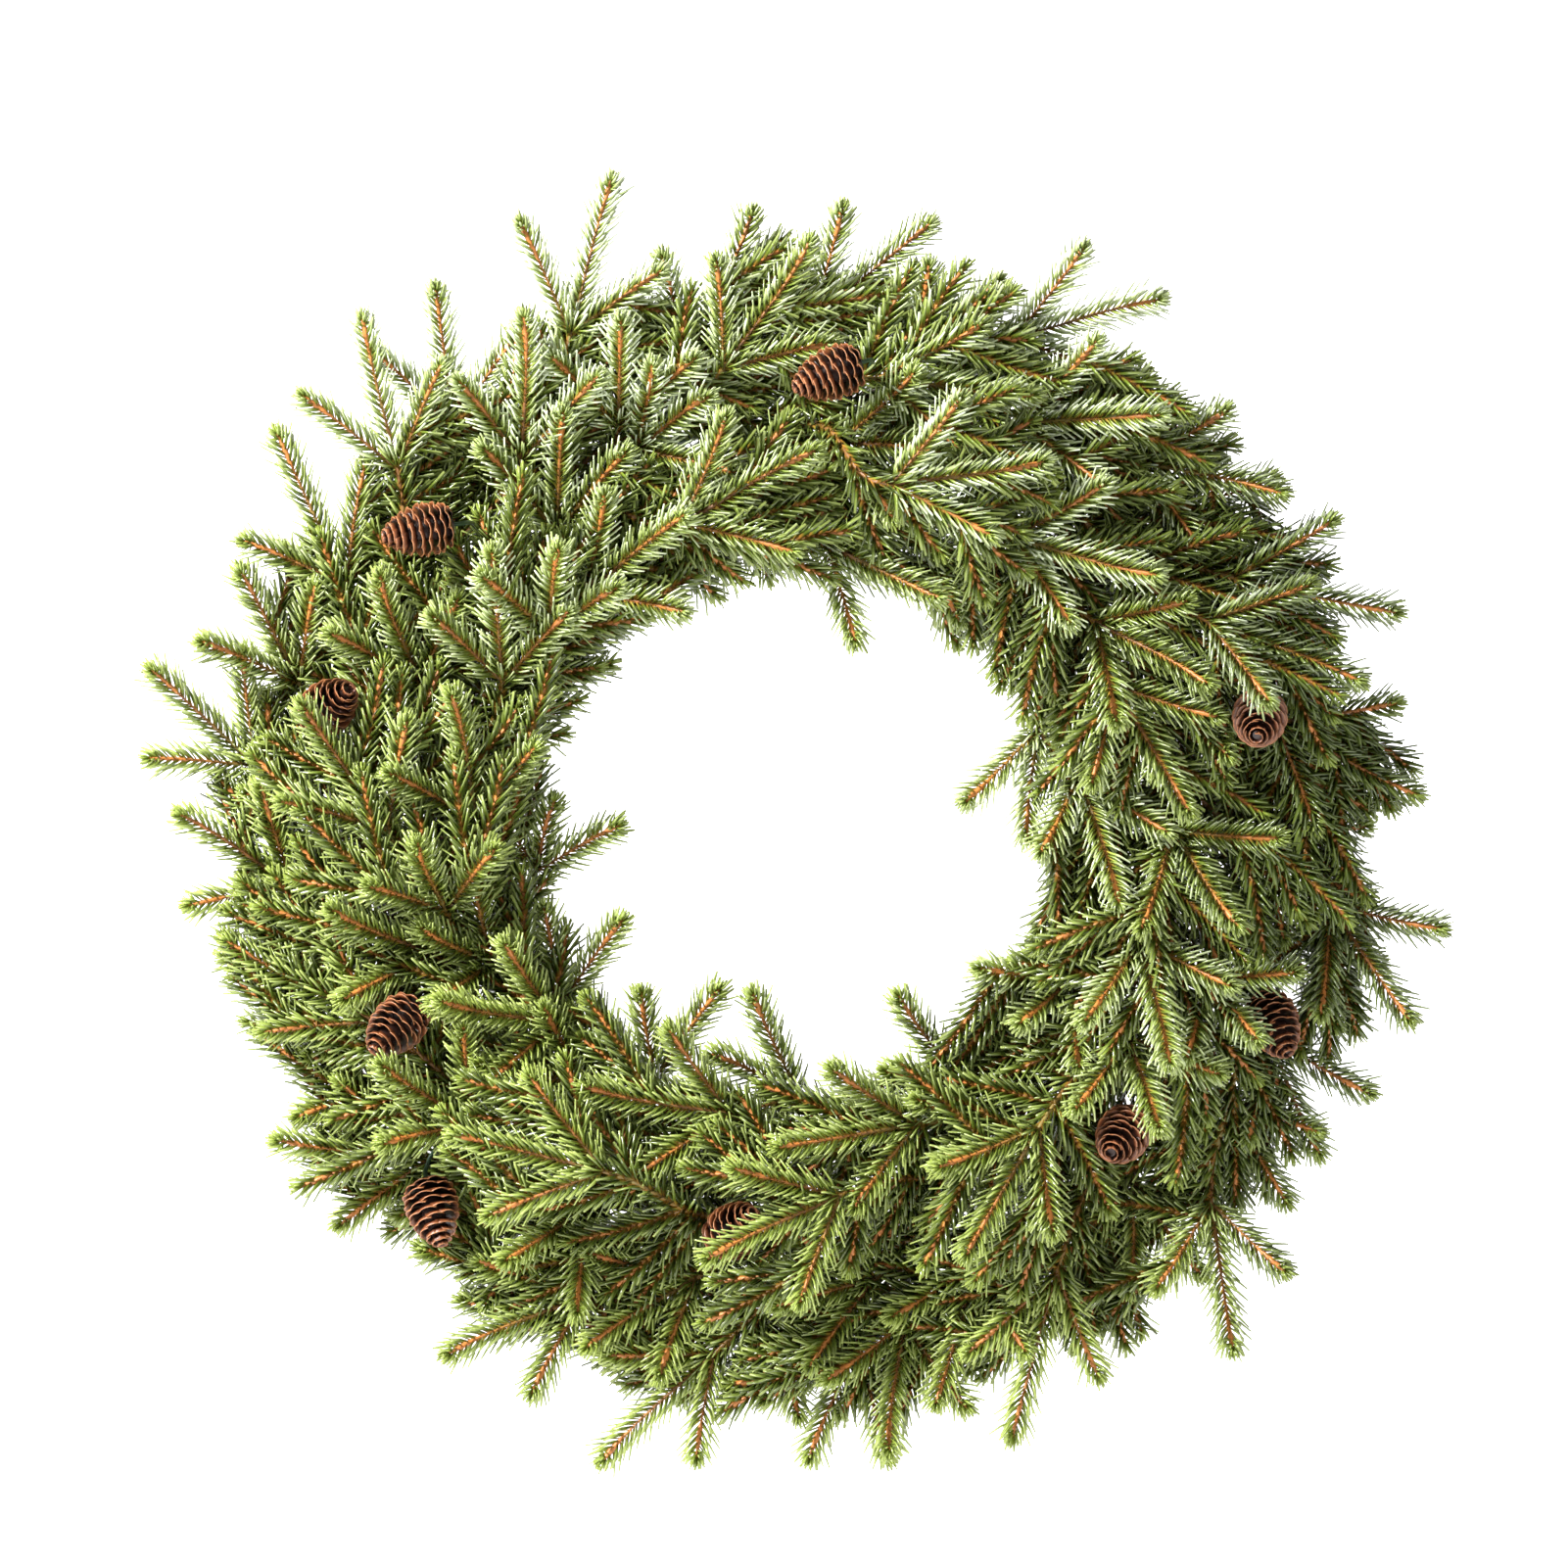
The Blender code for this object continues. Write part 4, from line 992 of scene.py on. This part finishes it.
def makeSprays(branches):
    fine, plain = needleMesh(needleShape["fine"]), needleMesh(needleShape["plain"])
    tree = sprayTree(needleMaterial(), twigMaterial())
    counts = []
    for number, branch in enumerate(branches, 1):
        tips, stems = [], []
        for i, twig in enumerate(branch["twigs"]):
            fork = 0.0 if i % 3 else twig.radii[-2][0]
            tips.append(twigLine(twig, fork, twig.length))
            if fork:
                stems.append(twigLine(twig, 0.0, fork, 0.0 if i else sprayShape["bareFoot"]))
        tone = random.Random(sprayShape["toneSeed"] + number).random()
        values = {"Spray tone": tone, "Seed": number, "Needle": fine}
        meshes = [grown(twigLines(tips), tree, values)]
        # The stems and back twigs take a negative spray tone: painted shade, so their needles are darker as they lie
        # deeper.
        values.update({"Needle": plain, "Row pitch": sprayShape["stemPitch"],
                       "Seed": sprayShape["stemSeed"] + number,
                       "Spray tone": -sprayShape["backPaintedShade"] * (1 + tone), "Bud needles": 1,
                       "Cut short by": twigSize["mainLength"], "Needle width": sprayShape["backWidth"]})
        meshes.append(grown(twigLines(stems), tree, values))
        if branch["back"]:
            values.update({"Row pitch": sprayShape["backPitch"], "Seed": sprayShape["backSeed"] + number,
                           "Cut short by": 0.0,
                           "Bud needles": sprayShape["backBudNeedles"], "Twig step": sprayShape["backTwigStep"],
                           "Twig sides": sprayShape["backTwigSides"]})
            lines = [[(point, sprayShape["backTwigRadius"], 0.0) for point in path] for path in branch["back"]]
            meshes.append(grown(twigLines(lines), tree, values))
        counts.append(makePiece(f"spruceSpray_{number:02d}", meshes, f"spray_{number:02d}"))
    bpy.data.objects.remove(fine)
    bpy.data.objects.remove(plain)
    print("sprays:", sum(counts), "triangles, the largest", max(counts))


# The cone's deep colour is painted shade on the scales' roots and the body between the scales, and also the dark of the
# grain's flecks.
coneFinish = {"deep": (0.020, 0.006, 0.003), "brown": (0.175, 0.050, 0.014), "edge": (0.46, 0.195, 0.080),
              "rough": 0.4, "grain": (900, 4.0, 0.25 * mm, 0.6), "grainAt": (0.4, 0.7, 0.0, 0.35), "patches": 120,
              "patchAt": (0.35, 0.6, 0.5, 1.0), "brownAt": (0.6, 0.9, 0.0, 1.0), "edgeAt": (0.92, 1.0, 0.0, 1.0)}
coneShape = {"scales": 84, "scaleLength": 9.2 * mm, "scaleHalfWidth": 5.4 * mm, "root": 3.9 * mm, "thick": 0.75 * mm,
             "lip": 2.2 * mm, "cup": 0.9 * mm, "baseLean": 98, "noseLean": 26, "looseLean": 4.0, "eachTurn": 8.5,
             "looseTurn": 0.09, "spine": (-0.42, 0.86), "core": 0.45, "coreSides": 12, "wireSides": 8, "wirePart": 0.8,
             "wireSteps": 24, "nextTurn": 0.7}
ringFinish = {"paint": (0.018, 0.045, 0.022), "worn": (0.05, 0.075, 0.05), "rough": 0.38,
              "grain": (260, 4.0, 0.2 * mm, 0.5), "wornAt": (0.5, 0.72, 0.0, 0.8)}
ringShape = {"steps": 144, "sides": 12, "tieTurns": 2, "tieSteps": 9, "tiePitch": 1.6 * mm, "tieWire": 0.4 * mm,
             "tieSides": 4}


def coneMaterial():
    material, tree, shader = newMaterial("varnished cone scales", coneFinish["rough"])
    edge = attributeOf(tree, "edge")
    grain, patch = addGrain(tree, shader, *coneFinish["grain"]), noiseOf(tree, coneFinish["patches"])
    # near black at the scales' roots and over the body as painted shade between the scales, brown further out, pale
    # lips in patches
    colour = layered(tree, coneFinish["deep"], (edge, coneFinish["brownAt"], coneFinish["brown"]))
    rim = product(tree, ranged(tree, edge, *coneFinish["edgeAt"]), ranged(tree, patch, *coneFinish["patchAt"]))
    colour = mixColours(tree, rim, colour, coneFinish["edge"])
    feed(tree, shader["Base Color"], layered(tree, colour, (grain, coneFinish["grainAt"], coneFinish["deep"])))
    return material


def paintMaterial():
    material, tree, shader = newMaterial("painted wire", ringFinish["rough"])
    patch = addGrain(tree, shader, *ringFinish["grain"])
    colour = layered(tree, ringFinish["paint"], (patch, ringFinish["wornAt"], ringFinish["worn"]))
    feed(tree, shader["Base Color"], colour)
    return material


# The points around a sheet's edge, once round.
def sheetEdge(rows):
    return [row[0] for row in rows] + rows[-1][1:] + [row[4] for row in reversed(rows[:-1])] + rows[0][3:0:-1]


# One scale: root at the origin, along +Z, its lip turned up towards +Y.
def scaleMesh():
    bm = bmesh.new()
    edge = bm.verts.layers.float.new("edge")
    sheets = []
    for under in (0, 1):
        rows = []
        for v, wide in ((0.0, 0.25), (0.66, 0.95), (1.0, 0.86)):
            row = []
            for u in (-1, -0.5, 0, 0.5, 1):
                thick = coneShape["thick"] * (1 - 0.5 * v) * under
                y = coneShape["lip"] * max(0, v - 0.3) ** 2 * 2 + coneShape["cup"] * u * u * v - thick
                vert = bm.verts.new((coneShape["scaleHalfWidth"] * wide * u, y,
                                     coneShape["scaleLength"] * v * (1 - 0.2 * u * u * v)))
                vert[edge] = max(v, 0.9 * abs(u) * v + 0.1 * v)
                row.append(vert)
            rows.append(row)
        sheets.append(rows)
        for a, b in zip(rows, rows[1:]):
            for k in range(4):
                bm.faces.new((a[k], a[k + 1], b[k + 1], b[k]))
    top, low = (sheetEdge(rows) for rows in sheets)
    for k in range(len(top)):
        n = (k + 1) % len(top)
        bm.faces.new((top[k], top[n], low[n], low[k]))
    bmesh.ops.recalc_face_normals(bm, faces=bm.faces)
    return addObject("one scale", meshFrom(bm, "one scale"))


# Half the width of a cone at a part of its length, as a part of its greatest half width.
def coneOutline(tree, part):
    part = maths(tree, "POWER", total(tree, product(tree, part, 0.96), 0.04), 0.72)
    return maths(tree, "POWER", maths(tree, "SINE", product(tree, part, math.pi)), 0.62)


def coneTree(scaleStuff, wireStuff):
    tree, given = newTree("cone on a wire", {
        "Scale": ("Object", None), "Scales": ("Int", coneShape["scales"]), "Length": ("Float", coneSize["length"]),
        "Half width": ("Float", coneSize["radius"]), "Middle": ("Vector", None), "Turn": ("Rotation", None),
        "Seed": ("Int", 1)})
    scale = flow(tree, "GeometryNodeObjectInfo", {"Object": given["Scale"]}, "Geometry")
    index = flow(tree, "GeometryNodeInputIndex", {})
    part = maths(tree, "DIVIDE", index, given["Scales"])
    start, reach = (product(tree, given["Length"], p) for p in coneShape["spine"])
    spine = flow(tree, "GeometryNodeMeshLine", {
        "Count": given["Scales"], "Start Location": madeVector(tree, 0.0, 0.0, start),
        "Offset": madeVector(tree, 0.0, 0.0, maths(tree, "DIVIDE", reach, given["Scales"]))}, mode="OFFSET")
    # the scales stand in a slow spiral, flat at the cone's foot and closed at its nose
    wide = coneOutline(tree, total(tree, product(tree, part, 0.88), 0.06))
    loose = coneShape["looseTurn"]
    turn = total(tree, product(tree, index, 2 * math.pi / coneShape["eachTurn"]),
                 randomValue(tree, -loose, loose, given["Seed"]))
    out = turnedWay(tree, turn, (1, 0, 0), (0, 1, 0))
    loose = coneShape["looseLean"]
    lean = ranged(tree, maths(tree, "POWER", part, 2.2), 0.0, 1.0, coneShape["baseLean"], coneShape["noseLean"])
    lean = maths(tree, "RADIANS", total(tree, lean, randomValue(tree, -loose, loose, given["Seed"])))
    rooted = flow(tree, "GeometryNodeSetPosition", {
        "Geometry": spine, "Offset": scaled(tree, out, product(tree, wide, coneShape["root"]))})
    scales = placedOn(tree, rooted, scale, turnedWay(tree, lean, (0, 0, 1), out), (0, 0, 1),
                      madeVector(tree, wide, wide, wide))
    # the body that the scales stand on, dark with the painted shade of the scales' roots
    middle = resampled(tree, flow(tree, "GeometryNodeMeshToCurve", {"Mesh": spine}), "COUNT", coneShape["coreSides"])
    along = flow(tree, "GeometryNodeSplineParameter", {}, "Factor")
    core = tube(tree, middle, product(tree, given["Half width"], coneShape["core"]), coneShape["coreSides"],
                coneOutline(tree, ranged(tree, along, 0.0, 1.0, 0.1, 0.9)))
    cone = flow(tree, "GeometryNodeTransform", {
        "Geometry": withMaterial(tree, joinAll(tree, [scales, core]), scaleStuff), "Translation": given["Middle"],
        "Rotation": given["Turn"]})
    # the wire, along the edges that come in
    wire = tube(tree, flow(tree, "GeometryNodeMeshToCurve", {"Mesh": given["Geometry"]}), 1.0,
                coneShape["wireSides"], readFloat(tree, "thickness"))
    whole = joinAll(tree, [cone, withMaterial(tree, wire, wireStuff)])
    return endTree(tree, flow(tree, "GeometryNodeRealizeInstances", {"Geometry": whole}))


def makeCones(cones, wireStuff):
    scale = scaleMesh()
    tree = coneTree(coneMaterial(), wireStuff)
    for number, cone in enumerate(cones, 1):
        wire = cone["wire"]
        line = [(wire.point(s), coneSize["wire"] * coneShape["wirePart"], 0.0)
                for s in np.linspace(0, wire.length, coneShape["wireSteps"])]
        turn = cone["nose"].to_track_quat("Z", "Y") @ Quaternion((0, 0, 1), number * coneShape["nextTurn"])
        mesh = grown(twigLines([line]), tree, {"Scale": scale, "Middle": cone["middle"], "Turn": turn.to_euler(),
                                               "Seed": number})
        count = makePiece(f"spruceCone_{number}", [mesh], f"cone_{number}")
    bpy.data.objects.remove(scale)
    print("cones:", count, "triangles each")


# The ring, with the tie wire that comes in as lines.
def ringTree(paint):
    tree, given = newTree("wire ring with ties", {
        "Ring radius": ("Float", frameRing["radius"]), "Wire radius": ("Float", frameRing["wire"]),
        "Tie wire": ("Float", ringShape["tieWire"])})
    hoop = flow(tree, "GeometryNodeTransform", {
        "Geometry": circle(tree, given["Ring radius"], ringShape["steps"]), "Rotation": (math.pi / 2, 0, 0),
        "Translation": ringMiddle})
    ties = flow(tree, "GeometryNodeMeshToCurve", {"Mesh": given["Geometry"]})
    bodies = [tube(tree, hoop, given["Wire radius"], ringShape["sides"]),
              tube(tree, ties, given["Tie wire"], ringShape["tieSides"])]
    return endTree(tree, withMaterial(tree, joinAll(tree, bodies), paint))


# A few turns of thin wire round the ring and the foot of a stem.
def tieLine(angle):
    deep = frameRing["wire"] + ringShape["tieWire"]
    front = wireFlat + stemFoot["gap"] + 2 * stemFoot["radius"] + ringShape["tieWire"]
    steps = ringShape["tieSteps"]
    points = []
    for i in range(ringShape["tieTurns"] * steps + 1):
        turn = 2 * math.pi * i / steps
        along = (i / steps - ringShape["tieTurns"] / 2) * ringShape["tiePitch"]
        points.append((ringMiddle + outwardWay(angle) * (frameRing["radius"] + deep * math.cos(turn))
                       + frontWay * ((front - deep) / 2 + (front + deep) / 2 * math.sin(turn))
                       + clockwiseWay(angle) * along, 0.0, 0.0))
    return points


def makeRing(branches, cones, paint):
    feet = [branch["twigs"][0].point(stemFoot["length"] / 2) for branch in branches]
    feet += [cone["wire"].point(stemFoot["length"] / 4) for cone in cones]
    mesh = grown(twigLines([tieLine(clockAngle(foot)) for foot in feet]), ringTree(paint), {})
    print("ring:", makePiece("wireRing", [mesh], "frame_ring"), "triangles")


# Each softbox has its name, place, size in metres and power in watts.
studio = {"backdrop": 3.8, "floor": -1.0, "curve": 0.8, "half": 5.0, "white": 0.97, "glow": 0.8, "rough": 0.9,
          "world": 0.15, "boxes": (("key", (-1.8, -1.5, 1.3), 0.7, 250), ("fill", (1.7, -2.2, 0.4), 1.4, 10),
                                   ("rim", (-0.6, 0.7, 1.6), 0.8, 20))}
camera = {"distance": 3.0, "lens": 147.3, "right": -2 * mm, "above": 17.2 * mm, "depth": -45 * mm}


def makeBackdrop():
    bm = bmesh.new()
    bend = [math.radians(a) for a in range(0, 91, 6)]
    profile = [(-studio["half"], studio["floor"])]
    profile += [(studio["backdrop"] - studio["curve"] * (1 - math.sin(a)),
                 studio["floor"] + studio["curve"] * (1 - math.cos(a))) for a in bend]
    profile.append((studio["backdrop"], studio["half"]))
    rows = [[bm.verts.new((x, y, z)) for x in (-studio["half"], studio["half"])] for y, z in profile]
    for low, high in zip(rows, rows[1:]):
        bm.faces.new((low[0], low[1], high[1], high[0]))
    mesh = meshFrom(bm, "studioFloor")
    mesh.shade_smooth()
    material, _, shader = newMaterial("pale floor", studio["rough"])
    shader["Base Color"].default_value = (*[studio["white"]] * 3, 1)
    shader["Emission Color"].default_value = (1, 1, 1, 1)
    shader["Emission Strength"].default_value = studio["glow"]
    mesh.materials.append(material)
    addObject("studioFloor", mesh)


def makeLight():
    world = bpy.data.worlds.new("studio")
    world.use_nodes = True
    sky = world.node_tree.nodes["Background"]
    sky.inputs["Color"].default_value = (1, 1, 1, 1)
    sky.inputs["Strength"].default_value = studio["world"]
    bpy.context.scene.world = world
    for name, place, size, power in studio["boxes"]:
        light = bpy.data.lights.new(name, "AREA")
        light.energy = power
        light.size = size
        lamp = addObject(name, light)
        lamp.location = place
        lamp.rotation_euler = (ringMiddle - Vector(place)).to_track_quat("-Z", "Y").to_euler()
    bpy.context.scene.view_settings.view_transform = "Standard"


def makeCamera():
    lens = bpy.data.cameras.new("camera")
    lens.lens = camera["lens"]
    lens.sensor_width = 36
    lens.clip_end = 50
    view = addObject("camera", lens)
    view.location = ringMiddle + Vector((camera["right"], camera["depth"] - camera["distance"], camera["above"]))
    view.rotation_euler = (math.pi / 2, 0, 0)
    bpy.context.scene.camera = view


branches, cones = branchLayout()
print("layout done,", len(branches), "branches")
addBackTwigs(branches, cones)
makeSprays(branches)
paint = paintMaterial()
makeCones(cones, paint)
makeRing(branches, cones, paint)
makeBackdrop()
makeLight()
makeCamera()
